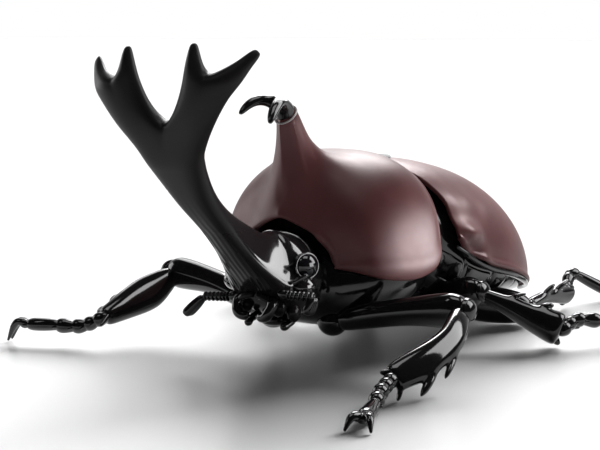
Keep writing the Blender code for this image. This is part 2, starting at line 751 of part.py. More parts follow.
def thigh(name, leg, look, grow=0.0):
    """The femur, thick in its middle, and broadest on a hind leg."""
    coxa_place, knee = Vector(leg["coxa"]), Vector(leg["knee"])
    lean = (knee - coxa_place).normalized()
    start = coxa_place + lean * 1.2
    end = knee + lean * 0.8
    bow = (start + end) / 2 + Vector((0.0, 0.0, 0.1))
    swell = HIND_SWELL if leg["coxa"][1] > HIND_FROM else 0.0
    middle = ((0.3, 1.75 + swell, 1.4), (0.6, 1.85 + swell, 1.4))
    sizes = ((0.0, 1.3, 1.2), *middle, (0.88, 1.9, 1.35), (1.0, 1.5, 1.2))
    return limb(name, (start, bow, end), sizes, look, sides=10, stations=6, grow=grow)


def tarsus_path(leg):
    return (leg["ankle"], *leg["foot"])


def tarsus_stops():
    stops = []
    for k in range(TARSUS_SEGMENTS):
        at, step = k / TARSUS_SEGMENTS, 1 / TARSUS_SEGMENTS
        thick = 0.85 if k < TARSUS_SEGMENTS - 1 else 0.75
        stops += [(at, 0.42, 0.42), (at + 0.45 * step, 0.66, 0.6), (at + 0.86 * step, thick, 0.78)]
    return [*stops, (1.0, 0.5, 0.5)]


def tarsus(name, leg, look, grow=0.0):
    return stepped_tube(name, tarsus_path(leg), tarsus_stops(), look, grow=grow)


def claws(name, leg, look):
    """Two hooked claws that spread from the end of the last tarsal segment to the floor."""
    end = Vector(leg["foot"][-1])
    before = Vector(leg["foot"][-2])
    along = Vector((end.x - before.x, end.y - before.y, 0.0)).normalized()
    across = along.cross(Vector((0, 0, 1)))
    pieces = []
    for turn in (-1.0, 1.0):
        root = end + along * 0.1
        bend = end + along * 1.3 + across * turn * 0.9 + Vector((0.0, 0.0, 0.35))
        tip = end + along * 2.5 + across * turn * 1.35
        tip.z = 0.05
        sizes = ((0.0, 0.36, 0.36), (0.5, 0.34, 0.34), (1.0, 0.26, 0.26))
        pieces.append(limb(f"{name}{turn}", (root, bend, tip), sizes, look, sides=6, stations=4, blunt=False))
    base = ball(name, end + along * 0.5, (0.6, 0.6, 0.5), look, sides=6, rows=4)
    return combine(base, pieces, "UNION")


def leg_parts(name, leg, look):
    front = name.startswith("front")
    clear_shin = shin("clear_shin", leg, front, look, grow=GAP)
    femur = thigh("femur_" + name, leg, look)
    combine(femur, [clear_shin, coxa("clear_coxa", leg["coxa"], look, grow=GAP)], "DIFFERENCE")
    tibia = shin("tibia_" + name, leg, front, look)
    foot = tarsus("tarsus_" + name, leg, look)
    combine(foot, [shin("clear_end", leg, front, look, grow=GAP)], "DIFFERENCE")
    claw = claws("claws_" + name, leg, look)
    combine(claw, [tarsus("clear_foot", leg, look, grow=GAP)], "DIFFERENCE")
    floor = block("floor", (-80, -80, -10), (80, 80, 0), look)
    combine(claw, [floor], "DIFFERENCE")
    return [coxa("coxa_" + name, leg["coxa"], look), femur, tibia, foot, claw]


def leg_roots(group, look):
    """The coxa and femur of each leg of a pair, grown by the gap, to cut from the body."""
    found = []
    for side_name in SIDES:
        leg = LEGS[group + "_" + side_name]
        found += [coxa("clear", leg["coxa"], look, grow=GAP), thigh("clear", leg, look, grow=GAP)]
    return found


def build():
    clear_scene()
    black = material("gloss black", BLACK, 0.12)
    eye_black = material("eye black", EYE_BLACK, 0.05)
    brown = material("satin brown", BROWN, 0.32)
    tip_brown = material("dark gloss tip", TIP_BROWN, 0.15)

    shield = pronotum_body("pronotum", brown)
    combine(shield, [head(black, grow=GAP, name="clear")], "DIFFERENCE")
    breast = prosternum(black)
    clear = [head(black, grow=GAP, name="clear"), pronotum_body("clear", brown, grow=GAP)]
    combine(breast, [*clear, *leg_roots("front", black)], "DIFFERENCE")
    nodes = [shield, breast, *thoracic_horn(brown, tip_brown)]

    skull = head(black)
    sockets = [
        ball("socket", mirrored(EYE_CENTRE, side), EYE_RADII, black, sides=14, rows=8, grow=GAP)
        for side in SIDES.values()
    ]
    combine(skull, sockets, "DIFFERENCE")
    nodes += [skull, *head_horn(black)]
    for side_name, side in SIDES.items():
        nodes.append(eye(side_name, side, eye_black))
        nodes += antenna(side_name, black)
    nodes += mouthparts(black)

    plate = scutellum(black)
    cases = [elytron(side_name, side, brown) for side_name, side in SIDES.items()]
    for case in cases:
        combine(case, [scutellum(black, grow=GAP)], "DIFFERENCE")
    nodes += [plate, *cases]

    chest = trunk("pterothorax", TRUNK_FRONT, WAIST, black)
    clear = [*leg_roots("middle", black), *leg_roots("hind", black), scutellum(black, grow=GAP)]
    combine(chest, clear, "DIFFERENCE")
    belly = trunk("abdomen", WAIST + GAP, PYGIDIUM_FRONT, black, grooves=(16.8, 20.2, 23.4, 26.4))
    combine(belly, leg_roots("hind", black), "DIFFERENCE")
    tail = trunk("pygidium", PYGIDIUM_FRONT + GAP, TRUNK_REAR, black, stations=3)
    nodes += [chest, belly, tail]

    for name, leg in LEGS.items():
        nodes += leg_parts(name, leg, black)
    finish(nodes)


def finish(nodes):
    """An empty carries the nodes, so that the origin is the middle of the object's base."""
    bpy.context.view_layer.update()
    corners = [n.matrix_world @ v.co for n in nodes for v in n.data.vertices]
    low = Vector([min(c[k] for c in corners) for k in range(3)])
    high = Vector([max(c[k] for c in corners) for k in range(3)])
    stand = bpy.data.objects.new("beetle", None)
    bpy.context.scene.collection.objects.link(stand)
    stand.location = (-(low.x + high.x) / 2, -(low.y + high.y) / 2, -low.z)
    for node in nodes:
        node.parent = stand
        shade(node)


build()
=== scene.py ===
import json
import math

import bmesh
import bpy
from mathutils import Matrix, Vector

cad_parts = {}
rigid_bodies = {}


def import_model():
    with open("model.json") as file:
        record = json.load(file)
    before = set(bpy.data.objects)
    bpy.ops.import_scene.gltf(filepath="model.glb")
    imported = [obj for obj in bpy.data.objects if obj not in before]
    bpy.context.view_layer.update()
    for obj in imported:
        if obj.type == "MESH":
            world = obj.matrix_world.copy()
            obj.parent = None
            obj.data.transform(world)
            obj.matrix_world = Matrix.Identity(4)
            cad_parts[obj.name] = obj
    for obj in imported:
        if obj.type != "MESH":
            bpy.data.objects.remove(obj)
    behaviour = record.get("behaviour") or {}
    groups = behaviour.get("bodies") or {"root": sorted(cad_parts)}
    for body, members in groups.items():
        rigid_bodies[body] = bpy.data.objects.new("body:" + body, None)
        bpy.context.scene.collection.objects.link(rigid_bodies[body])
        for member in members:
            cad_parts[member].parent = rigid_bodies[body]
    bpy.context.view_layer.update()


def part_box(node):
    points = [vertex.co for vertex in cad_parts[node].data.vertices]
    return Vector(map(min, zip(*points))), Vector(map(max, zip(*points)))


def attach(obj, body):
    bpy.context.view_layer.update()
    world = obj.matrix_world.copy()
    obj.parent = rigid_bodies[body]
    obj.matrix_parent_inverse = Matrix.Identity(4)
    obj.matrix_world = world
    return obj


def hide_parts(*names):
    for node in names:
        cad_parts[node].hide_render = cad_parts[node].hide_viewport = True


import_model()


# The pronotum is the brown shield over the front of the body, moulded in one with the stalk of the
# thoracic horn. It is a shell: a sheet drawn over the back from margin to margin, with a thin raised
# bead round its edge and a keel from the front margin up to the stalk.
MM = 0.001
shield_low, shield_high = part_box("pronotum")
CENTRE = Vector(((shield_low.x + shield_high.x) / 2, shield_high.y - 0.3 * MM, 0.0))
SHIELD = (
    (-17.4, 6.4, 11.2, 16.2, 2.05),
    (-14.6, 9.9, 10.6, 19.6, 2.6),
    (-11.5, 11.75, 9.7, 22.1, 2.8),
    (-7.0, 12.85, 9.2, 24.0, 2.75),
    (-3.0, 13.15, 9.7, 24.3, 2.6),
    (-0.6, 12.6, 10.6, 23.5, 2.6),
    (0.3, 11.8, 11.3, 22.6, 2.6),
)
CORNER_SET_BACK = 2.1
CORNER_REACH = 4.0
SHIELD_WALL = 0.8
SWELL_PLACE = (0.0, -13.1)
SWELL_RISE = 4.6
SWELL_SPREAD = (3.3, 2.7)
SWELL_START = (-17.2, -15.0)
KEEL_RISE = 0.95
KEEL_SPREAD = 1.35
EDGE_BANDS = (0.0, 0.012, 0.026, 0.042)
EDGE_BEAD = (-0.05, 0.27, 0.2, -0.08)
STALK_RADII = (2.6, 2.7)
STALK_STEPS = (
    ((0.0, -13.75, 25.2), 2.2, 2.35, 0.05),
    ((0.0, -14.3, 26.5), 1.8, 2.0, 0.15),
    ((0.0, -14.95, 27.9), 1.5, 1.55, 0.45),
    ((0.0, -15.5, 29.15), 1.22, 1.2, 0.85),
    ((0.0, -15.75, 29.5), 0.8, 0.75, 0.85),
)
STALK_KEEL = 1.2
FOOT_SET_BACK = 0.4
FOOT_OVAL = (2.75, 2.85)
FOOT_BAND = (1.6, 5.4)
FOOT_TOP = 27.2
FOOT_TURNS = 7
KEEL_HALF = 0.2


def spot(x, y, z):
    """The place in the frame of a point in millimetres from below the pronotum's rear edge."""
    return CENTRE + Vector((x, y, z)) * MM


def flow(stops, t):
    """The smooth values at t through stops of (t, value, ...)."""
    if t <= stops[0][0]:
        return list(stops[0][1:])
    if t >= stops[-1][0]:
        return list(stops[-1][1:])
    k = max(i for i, stop in enumerate(stops[:-1]) if stop[0] <= t)
    before, start, end = stops[max(k - 1, 0)], stops[k], stops[k + 1]
    after = stops[min(k + 2, len(stops) - 1)]
    span = end[0] - start[0]
    u = (t - start[0]) / span
    found = []
    for c in range(1, len(start)):
        slope_in = (end[c] - before[c]) / (end[0] - before[0]) * span
        slope_out = (after[c] - start[c]) / (after[0] - start[0]) * span
        found.append(
            (2 * u**3 - 3 * u**2 + 1) * start[c]
            + (u**3 - 2 * u**2 + u) * slope_in
            + (3 * u**2 - 2 * u**3) * end[c]
            + (u**3 - u**2) * slope_out
        )
    return found


def squarish(angle, power):
    """A point of the unit superellipse at this angle."""
    c, s = math.cos(angle), math.sin(angle)
    return math.copysign(abs(c) ** (2 / power), c), math.copysign(abs(s) ** (2 / power), s)


def banded(share, count):
    """An even share of a sheet's width, drawn to the edges so that three narrow bands lie there."""
    k = round(share * count)
    last = len(EDGE_BANDS) - 1
    if k <= last:
        return EDGE_BANDS[k], EDGE_BEAD[k]
    if k >= count - last:
        return 1 - EDGE_BANDS[count - k], EDGE_BEAD[count - k]
    inner = EDGE_BANDS[last]
    return inner + (1 - 2 * inner) * (k - last) / (count - 2 * last), 0.0


def add(name, primitive, **settings):
    """A primitive as a new piece, the only one selected."""
    bpy.ops.object.select_all(action="DESELECT")
    primitive(**settings)
    piece = bpy.context.object
    piece.name = name
    return piece


def go_to(mode):
    bpy.ops.object.mode_set(mode=mode)


def edited(piece):
    return bmesh.from_edit_mesh(piece.data)


def sheet(name, columns, rows, point):
    """A flat grid whose corners are taken to point(share across, share along)."""
    grid = bpy.ops.mesh.primitive_grid_add
    piece = add(name, grid, x_subdivisions=columns, y_subdivisions=rows, size=1.0)
    for vert in piece.data.vertices:
        vert.co = point(vert.co.x + 0.5, vert.co.y + 0.5)
    piece.data.update()
    return piece


def finish_with(piece, kind, **settings):
    """Adds one modifier of this kind and applies it."""
    bpy.context.view_layer.objects.active = piece
    modifier = piece.modifiers.new(kind.title(), kind)
    for key, value in settings.items():
        setattr(modifier, key, value)
    bpy.ops.object.modifier_apply(modifier=modifier.name)


def smooth(piece, levels):
    if levels:
        finish_with(piece, "SUBSURF", levels=levels, render_levels=levels)
    piece.data.shade_smooth()


def dress(piece, look, slot, *nodes):
    """Gives a finished piece its material and lets it stand for its nodes. The slot is not used."""
    piece.data.materials.clear()
    piece.data.materials.append(look)
    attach(piece, "root")
    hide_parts(*nodes)


class Socket:
    """A node's output that can stand in a Python expression."""

    def __init__(self, tree, link):
        self.tree, self.link = tree, link

    def node(self, kind, settings=None, **inputs):
        """Another node of this tree, its settings made first and its inputs set or linked."""
        made = self.tree.nodes.new(kind)
        for key, value in (settings or {}).items():
            setattr(made, key, value)
        for key, value in inputs.items():
            numbered = key.startswith("in") and key[2:].isdigit()
            socket = made.inputs[int(key[2:]) if numbered else key.replace("_", " ")]
            if isinstance(value, Socket):
                self.tree.links.new(value.link, socket)
            else:
                socket.default_value = value
        return made

    def pick(self, made, name=0):
        return Socket(self.tree, made.outputs[name])

    def maths(self, operation, first, second):
        return self.pick(self.node("ShaderNodeMath", {"operation": operation}, in0=first, in1=second))

    def __add__(self, other):
        return self.maths("ADD", self, other)

    def __sub__(self, other):
        return self.maths("SUBTRACT", self, other)

    def __rsub__(self, other):
        return self.maths("SUBTRACT", other, self)

    def __mul__(self, other):
        return self.maths("MULTIPLY", self, other)

    __radd__ = __add__
    __rmul__ = __mul__

    def wave(self):
        return self.maths("SINE", self, 0.0)

    def ramp(self, low, high):
        """0 below low and 1 above high, with a soft rise between."""
        smooth_rise = {"interpolation_type": "SMOOTHSTEP"}
        made = self.node("ShaderNodeMapRange", smooth_rise, Value=self, From_Min=low, From_Max=high)
        return self.pick(made)

    def between(self, first, second):
        """The mix of two colours by this factor."""
        made = self.node("ShaderNodeMix", {"data_type": "RGBA"}, Factor=self, in6=first, in7=second)
        return self.pick(made, 2)


def new_look(name, roughness, colour, **fixed):
    """A material with its fixed sockets set, and its shader and object coordinates to build on."""
    look = bpy.data.materials.new(name)
    look.use_nodes = True
    tree = look.node_tree
    shader = tree.nodes["Principled BSDF"]
    shader.inputs["Base Color"].default_value = (*colour, 1.0)
    shader.inputs["Roughness"].default_value = roughness
    for key, value in fixed.items():
        shader.inputs[key.replace("_", " ")].default_value = value
    place = Socket(tree, tree.nodes.new("ShaderNodeTexCoord").outputs["Object"])
    return look, shader, place


def noise(place, scale, detail=2.0):
    """A cloudy pattern between 0 and 1 whose lumps repeat this many times to the metre."""
    return place.pick(place.node("ShaderNodeTexNoise", Vector=place, Scale=scale, Detail=detail))


def feed(shader, name, value):
    value.tree.links.new(value.link, shader.inputs[name])


def bump(shader, height, strength, distance):
    made = height.node("ShaderNodeBump", Height=height, Strength=strength, Distance=distance)
    feed(shader, "Normal", height.pick(made))


BROWN = (0.07, 0.02, 0.021)
BROWN_PALE = (0.095, 0.03, 0.031)
GLEAM = (1.0, 0.74, 0.75, 1.0)

brown, brown_shader, brown_place = new_look("satin maroon plastic", 0.3, BROWN, Specular_Tint=GLEAM)
clouds = noise(brown_place, 160.0)
feed(brown_shader, "Base Color", clouds.ramp(0.3, 0.75).between((*BROWN, 1.0), (*BROWN_PALE, 1.0)))
feed(brown_shader, "Roughness", noise(brown_place, 900.0) * 0.08 + 0.4)
bump(brown_shader, noise(brown_place, 5200.0), 0.05, 0.00004)


def shield_lift(x, y, v):
    """How far the stalk's foot and the keel rise above the plain shell here."""
    start, full = SWELL_START
    swell = math.exp(-((x / SWELL_SPREAD[0]) ** 2 + ((y - SWELL_PLACE[1]) / SWELL_SPREAD[1]) ** 2) / 2)
    swell *= max(0.0, min(1.0, (y - start) / (full - start))) ** 0.7
    keel = max(0.0, 1 - abs(x) / KEEL_SPREAD) ** 1.4 * max(0.0, min(1.0, (-13.0 - y) / 1.5))
    return SWELL_RISE * swell * (v > 0) + KEEL_RISE * keel


def shield_point(across, along):
    s, side_bead = banded(across, SHIELD_COLUMNS)
    t, end_bead = banded(along, SHIELD_ROWS)
    y = SHIELD[0][0] + (SHIELD[-1][0] - SHIELD[0][0]) * t
    half, margin, crest, power = flow(SHIELD, y)
    bead = max(side_bead, end_bead, key=abs)
    u, v = squarish(math.pi * (1 - s), power)
    x = u * (half + bead)
    z = margin + max(v, 0.0) * (crest + bead - margin)
    fade = CORNER_SET_BACK * max(0.0, 1 - (y - SHIELD[0][0]) / CORNER_REACH)
    return spot(x, y + fade * u * u, z + shield_lift(x, y, v))


SHIELD_COLUMNS = 34
SHIELD_ROWS = 24
shield = sheet("shield", SHIELD_COLUMNS, SHIELD_ROWS, shield_point)
go_to("EDIT")
bpy.ops.mesh.select_mode(type="FACE")
bpy.ops.mesh.select_all(action="DESELECT")
mesh = edited(shield)
foot_y = SWELL_PLACE[1] - FOOT_SET_BACK
foot = spot(SWELL_PLACE[0], foot_y, 0.0)
for face in mesh.faces:
    away = face.calc_center_median() - foot
    face.select_set(abs(away.x) < STALK_RADII[0] * MM and abs(away.y) < STALK_RADII[1] * MM)
for vert in mesh.verts:
    linked = [f.select for f in vert.link_faces]
    if any(linked) and not all(linked):
        away = (vert.co - foot).xy
        angle = math.atan2(away.y, away.x)
        x = FOOT_OVAL[0] * math.cos(angle)
        y = foot_y + FOOT_OVAL[1] * math.sin(angle)
        half, margin, crest, power = flow(SHIELD, y)
        v = (1 - abs(x / half) ** power) ** (1 / power)
        vert.co = spot(x, y, margin + v * (crest - margin) + shield_lift(x, y, v))
bmesh.update_edit_mesh(shield.data)
for centre, wide, deep, slope in STALK_STEPS:
    bpy.ops.mesh.extrude_region_move()
    mesh = edited(shield)
    picked = [v for v in mesh.verts if v.select]
    rim = {v for v in picked if any(not f.select for f in v.link_faces)}
    middle = sum((v.co for v in picked), Vector()) / len(picked)
    reach = max((v.co.xy - middle.xy).length for v in rim)
    for vert in picked:
        away = vert.co.xy - middle.xy
        share = 1.0 if vert in rim else min(away.length / reach, 0.8)
        flat = away.normalized() * share if away.length > 0 else away
        if flat.y < 0:
            flat.y *= 1 + (STALK_KEEL - 1) * max(0.0, 1 - abs(flat.x) * 2.5)
        shift = Vector((flat.x * wide, flat.y * deep, flat.y * deep * slope))
        vert.co = spot(*centre) + shift * MM
    bmesh.update_edit_mesh(shield.data)
mesh = edited(shield)
near, far = (reach * MM for reach in FOOT_BAND)
round_foot = []
for vert in mesh.verts:
    away = vert.co - foot
    on_keel = abs(away.x) < KEEL_HALF * MM and away.y < 0.0
    if near < away.xy.length < far and vert.co.z < spot(0.0, 0.0, FOOT_TOP).z and not on_keel:
        round_foot.append(vert)
every_way = {"use_axis_x": True, "use_axis_y": True, "use_axis_z": True}
for turn in range(FOOT_TURNS):
    bmesh.ops.smooth_vert(mesh, verts=round_foot, factor=0.5, **every_way)
crease = mesh.edges.layers.float.new("crease_edge")
for edge in mesh.edges:
    if all(abs(v.co.x - CENTRE.x) < 0.02 * MM and v.co.y < foot.y - 1.2 * MM for v in edge.verts):
        edge[crease] = 1.0
bmesh.update_edit_mesh(shield.data)
go_to("OBJECT")
finish_with(shield, "SOLIDIFY", thickness=SHIELD_WALL * MM, offset=-1.0)
smooth(shield, 2)
dress(shield, brown, "brown", "pronotum", "thoracic_horn")


# The hook on top of the stalk is a separate piece of glossy black plastic, pushed on over the stalk's
# end, where it leaves a joint line. It forks into two curved tines that reach forward and down.
GLOSS_BLACK = (0.006, 0.0055, 0.006)

black, black_shader, black_place = new_look("gloss black plastic", 0.09, GLOSS_BLACK, IOR=1.5)
feed(black_shader, "Roughness", noise(black_place, 700.0) * 0.06 + 0.06)
bump(black_shader, noise(black_place, 900.0), 0.12, 0.00006)


def blacken(piece, node):
    dress(piece, black, "black", node)


def raise_end(piece, old, new):
    """Extrudes the selected end and takes each corner from its place in old to that in new."""
    bpy.ops.mesh.extrude_region_move()
    work = edited(piece)
    for vert in work.verts:
        if vert.select:
            nearest = min(range(len(old)), key=lambda i: (vert.co - old[i]).length_squared)
            vert.co = new[nearest]
    bmesh.update_edit_mesh(piece.data)


def grow(piece, rows):
    """Extrudes a flat piece from each row of corners to the next, in edit mode."""
    go_to("EDIT")
    bpy.ops.mesh.select_mode(type="FACE")
    bpy.ops.mesh.select_all(action="SELECT")
    for old, new in zip(rows, rows[1:]):
        raise_end(piece, old, new)


def close(piece, levels):
    """Ends the work in edit mode and smooths the closed piece."""
    bpy.ops.mesh.select_all(action="SELECT")
    bpy.ops.mesh.normals_make_consistent(inside=False)
    go_to("OBJECT")
    smooth(piece, levels)


def overdraw(sides):
    """How much larger a ring of this many corners is drawn, as smoothing draws it in again."""
    return 6 / (4 + 2 * math.cos(2 * math.pi / sides))


def tube(name, rings, levels=2):
    """A closed tube whose end face is extruded from ring to ring, then smoothed."""
    circle = bpy.ops.mesh.primitive_circle_add
    piece = add(name, circle, vertices=len(rings[0]), radius=1.0, fill_type="NGON")
    for vert, corner in zip(piece.data.vertices, rings[0]):
        vert.co = corner
    grow(piece, rings)
    close(piece, levels)
    return piece


def limb(name, knots, sizes, wide=(0, 0, 1), sides=8, stations=6, levels=2, power=2.0, at=None):
    """A tube along a smooth path. Sizes are (share of the length, half-width, half-depth)."""
    knots = [Vector(k) for k in knots]
    lengths = [0.0]
    for a, b in zip(knots, knots[1:]):
        lengths.append(lengths[-1] + (b - a).length)
    total = lengths[-1]
    path = [(d / total, *k) for d, k in zip(lengths, knots)]
    first, last = min(flow(sizes, 0.0)) / total, min(flow(sizes, 1.0)) / total
    shares = [i / stations for i in range(stations + 1) if first * 1.6 < i / stations < 1 - last * 1.6]
    shares = [0.0, 0.3 * first, 1.1 * first, *shares, 1 - 1.1 * last, 1 - 0.3 * last, 1.0]
    fill = {0.0: 0.5, 0.3 * first: 0.85, 1 - 0.3 * last: 0.85, 1.0: 0.5}
    if at:
        shares = at
        fill = {at[0]: 0.6, at[1]: 0.95, at[-1]: 0.8}
    full = overdraw(sides)
    wide = Vector(wide)
    rings = []
    for share in shares:
        centre = Vector(flow(path, share))
        along = Vector(flow(path, min(share + 0.02, 1.0))) - Vector(flow(path, max(share - 0.02, 0.0)))
        across = along.normalized().cross(wide).normalized()
        upward = across.cross(along.normalized()).normalized()
        half_wide, half_deep = (size * fill.get(share, 1.0) * full for size in flow(sizes, share))
        ring = []
        for i in range(sides):
            u, v = squarish(2 * math.pi * (i + 0.5) / sides, power)
            ring.append(spot(*(centre + upward * u * half_wide + across * v * half_deep)))
        rings.append(ring)
    return tube(name, rings, levels)


def ball(name, centre, radii, levels=1):
    """A round lump: a small sphere of squares, stretched to its radii."""
    piece = add(name, bpy.ops.mesh.primitive_uv_sphere_add, segments=20, ring_count=12, radius=1.0)
    go_to("EDIT")
    bpy.ops.mesh.select_all(action="SELECT")
    bpy.ops.transform.resize(value=[r * MM for r in radii], center_override=(0, 0, 0))
    bpy.ops.transform.translate(value=spot(*centre))
    go_to("OBJECT")
    smooth(piece, levels)
    return piece


def gather(name, pieces):
    """Several closed bodies as one piece."""
    bpy.ops.object.select_all(action="DESELECT")
    for piece in pieces:
        piece.select_set(True)
    bpy.context.view_layer.objects.active = pieces[0]
    bpy.ops.object.join()
    pieces[0].name = name
    return pieces[0]


def cage(name, rows, columns):
    """A flat grid one square deep, laid on the first row of corners and extruded to the others."""
    grid = bpy.ops.mesh.primitive_grid_add
    piece = add(name, grid, x_subdivisions=columns - 1, y_subdivisions=1, size=1.0)
    for vert in piece.data.vertices:
        k = round((vert.co.x + 0.5) * (columns - 1))
        vert.co = rows[0][k + (columns if vert.co.y > 0 else 0)]
    grow(piece, rows)
    return piece


def choose(piece, middles):
    """Selects the faces of a piece that have these middles, in edit mode."""
    bpy.ops.mesh.select_all(action="DESELECT")
    work = edited(piece)
    for face in work.faces:
        middle = face.calc_center_median()
        face.select_set(any((middle - m).length < 1e-6 for m in middles))
    bmesh.update_edit_mesh(piece.data)


def chosen(piece):
    """The middles of the selected faces."""
    return [f.calc_center_median().copy() for f in edited(piece).faces if f.select]


CROWN = (
    ((0.0, -15.6, 29.15), 1.26, 1.4, 41.0),
    ((0.0, -16.05, 29.75), 1.28, 1.3, 48.0),
    ((0.0, -16.8, 30.35), 1.4, 1.1, 62.0),
    ((0.0, -17.8, 30.8), 1.6, 0.9, 76.0),
)
HOOK_TINES = {
    1.0: (
        ((1.0, -18.8, 30.5), 0.8, 0.85, 98),
        ((1.3, -20.0, 29.7), 0.72, 0.8, 120),
        ((1.75, -21.3, 28.45), 0.34, 0.36, 132),
    ),
    -1.0: (
        ((-1.1, -19.0, 31.1), 0.78, 0.8, 88),
        ((-1.8, -20.4, 30.7), 0.68, 0.66, 104),
        ((-2.3, -21.6, 29.4), 0.36, 0.36, 118),
    ),
}
INNER_HALF = (0, 1, 2, 5, 6, 7)
OUTER_HALF = (2, 3, 4, 7, 8, 9)


def crown_row(centre, wide, deep, tilt, columns):
    """A flat oval of corners across the hook, turned forward by the tilt."""
    tilt = math.radians(tilt)
    above = Vector((0.0, math.cos(tilt), math.sin(tilt)))
    row = []
    for way in (-1, 1):
        for k in range(columns):
            c = 2 * k / (columns - 1) - 1
            lift = above * way * deep * (1 - 0.55 * c * c)
            row.append(spot(*(Vector(centre) + Vector((c * wide, 0, 0)) + lift)))
    return row


rows = [crown_row(*station, 5) for station in CROWN]
hook = cage("hook", rows, 5)
ends = chosen(hook)
for side, tines in HOOK_TINES.items():
    half = [c for c in ends if (c.x - CENTRE.x) * side > 0]
    choose(hook, half)
    last = [rows[-1][i] for i in (OUTER_HALF if side > 0 else INNER_HALF)]
    for station in tines:
        new = crown_row(*station, 3)
        raise_end(hook, last, new)
        last = new
close(hook, 3)
dress(hook, black, "horn_tip", "thoracic_horn_tip")


# The joint of the hook and the stalk shows as a thin pale line. It is an oval ring of plastic, turned
# with the end of the stalk.
COLLAR_RADII = (1.32, 0.13)
COLLAR_OVAL = (1.0, 1.16, 1.0, 1.0)
COLLAR_TILT = 41
COLLAR_PLACE = (0.0, -15.58, 29.14)
JOINT_PALE = (0.35, 0.32, 0.32)


def hoop(name, radii, segments):
    """A ring about the upright, given by its radius and its wire's radius."""
    return add(
        name,
        bpy.ops.mesh.primitive_torus_add,
        major_segments=segments[0],
        minor_segments=segments[1],
        major_radius=radii[0] * MM,
        minor_radius=radii[1] * MM,
    )


collar = hoop("collar", COLLAR_RADII, (48, 8))
collar.data.transform(Matrix.Diagonal(COLLAR_OVAL))
collar.data.transform(Matrix.Rotation(math.radians(COLLAR_TILT), 4, "X"))
collar.data.transform(Matrix.Translation(spot(*COLLAR_PLACE)))
smooth(collar, 1)
collar_look, collar_shader, collar_place = new_look("pale joint line", 0.3, JOINT_PALE)
feed(collar_shader, "Roughness", noise(collar_place, 900.0) * 0.1 + 0.25)
dress(collar, collar_look, "horn_tip", "thoracic_horn_tip")


# The head and its big horn are one black moulding, glossy at the head and satin on the horn. Each half
# of the stem's end goes on as a branch, and each quarter as a tine. A station of the skull is (share,
# y, z, tilt, half-width, keel, sharpness, belly, edge).
SKULL = (
    (0.0, -13.0, 10.3, 0, 4.2, 3.4, 0.5, 4.0, 0.6),
    (0.1, -15.5, 10.5, 1, 4.9, 4.2, 0.6, 4.6, 0.6),
    (0.2, -17.9, 10.4, 4, 5.3, 4.8, 0.75, 4.4, 0.5),
    (0.28, -19.4, 10.0, 9, 4.95, 5.6, 0.85, 3.2, 0.4),
    (0.36, -21.0, 9.8, 20, 4.35, 6.1, 0.9, 1.4, 0.3),
    (0.43, -22.4, 10.9, 31, 3.75, 5.4, 1.0, 0.95, 0.26),
    (0.5, -24.0, 12.3, 39, 2.95, 4.35, 1.1, 0.85, 0.25),
    (0.55, -25.5, 13.8, 43, 2.4, 3.75, 1.1, 0.8, 0.25),
    (0.6, -27.1, 15.4, 45, 2.1, 2.9, 1.0, 0.8, 0.26),
    (0.7, -29.6, 17.9, 43, 2.0, 1.95, 0.75, 0.9, 0.3),
    (0.8, -32.5, 20.7, 46, 2.4, 1.45, 0.55, 0.95, 0.4),
    (0.9, -34.8, 23.5, 54, 3.1, 1.3, 0.5, 0.95, 0.45),
    (1.0, -36.3, 25.6, 62, 3.85, 1.2, 0.5, 0.9, 0.5),
)
SKULL_STATIONS = 26
COLUMNS = (-1.0, -0.88, -0.6, -0.29, 0.0, 0.29, 0.6, 0.88, 1.0)
FORK_LEAN = 0.04
HORN_GREY = (0.007, 0.0063, 0.0068)
FRONT_WAY = (-0.72, -0.69)
FRONT_LINE = FRONT_WAY[0] * spot(0.0, -24.0, 12.3).y + FRONT_WAY[1] * spot(0.0, -24.0, 12.3).z
RIDGE_SCALE = 8200.0

horn_look, horn_shader, horn_place = new_look(
    "black plastic of the head and horn", 0.3, HORN_GREY, IOR=1.225, Coat_Roughness=0.07, Coat_IOR=1.6
)
split = horn_place.node("ShaderNodeSeparateXYZ", Vector=horn_place)
across, along, height = (horn_place.pick(split, k) for k in range(3))
satin = height.ramp(0.0135, 0.019)
feed(horn_shader, "Roughness", satin * 0.24 + 0.1 + noise(horn_place, 800.0) * 0.05)
ridges = (across * RIDGE_SCALE + noise(horn_place, 200.0) * 5.0).wave()
front_reach = along * FRONT_WAY[0] + height * FRONT_WAY[1]
in_front = front_reach.ramp(FRONT_LINE - 0.0002, FRONT_LINE + 0.0003)
feed(horn_shader, "Coat Weight", (1.0 - satin) * (1.0 - in_front))
low_stem = height.ramp(0.0075, 0.0095) * (1.0 - height.ramp(0.015, 0.022))
bump(horn_shader, ridges * low_stem * in_front, 0.3, 0.00005)

rings = []
for k in range(SKULL_STATIONS + 1):
    y, z, tilt, half, keel, sharp, belly, edge = flow(SKULL, k / SKULL_STATIONS)
    tilt = math.radians(tilt)
    rearward = Vector((0.0, math.sin(tilt), math.cos(tilt)))
    slant = FORK_LEAN * max(0.0, (z - 22.0) / 6.0)
    middle = [Vector((half * c, y, z + slant * half * c)) for c in COLUMNS]
    under = [m - rearward * (edge + belly * (1 - c**4) ** 0.5) for m, c in zip(middle, COLUMNS)]
    over = [m + rearward * (edge + keel * (1 - c * c) ** sharp) for m, c in zip(middle, COLUMNS)]
    rings.append([spot(*p) for p in under + over])


def on_side(side, points):
    """Points given for the left side, on this side."""
    return [(x * side, y, z) for x, y, z in points]


def lean(point):
    return Vector((point[0], point[1], point[2] + FORK_LEAN * point[0]))


def even_stops(points):
    """Stops for flow at even shares through these points."""
    return [(i / (len(points) - 1), *p) for i, p in enumerate(points)]


def spread(points, count):
    """This many points, evenly along the smooth line through a few points."""
    line = even_stops(points)
    return [flow(line, i / (count - 1)) for i in range(count)]


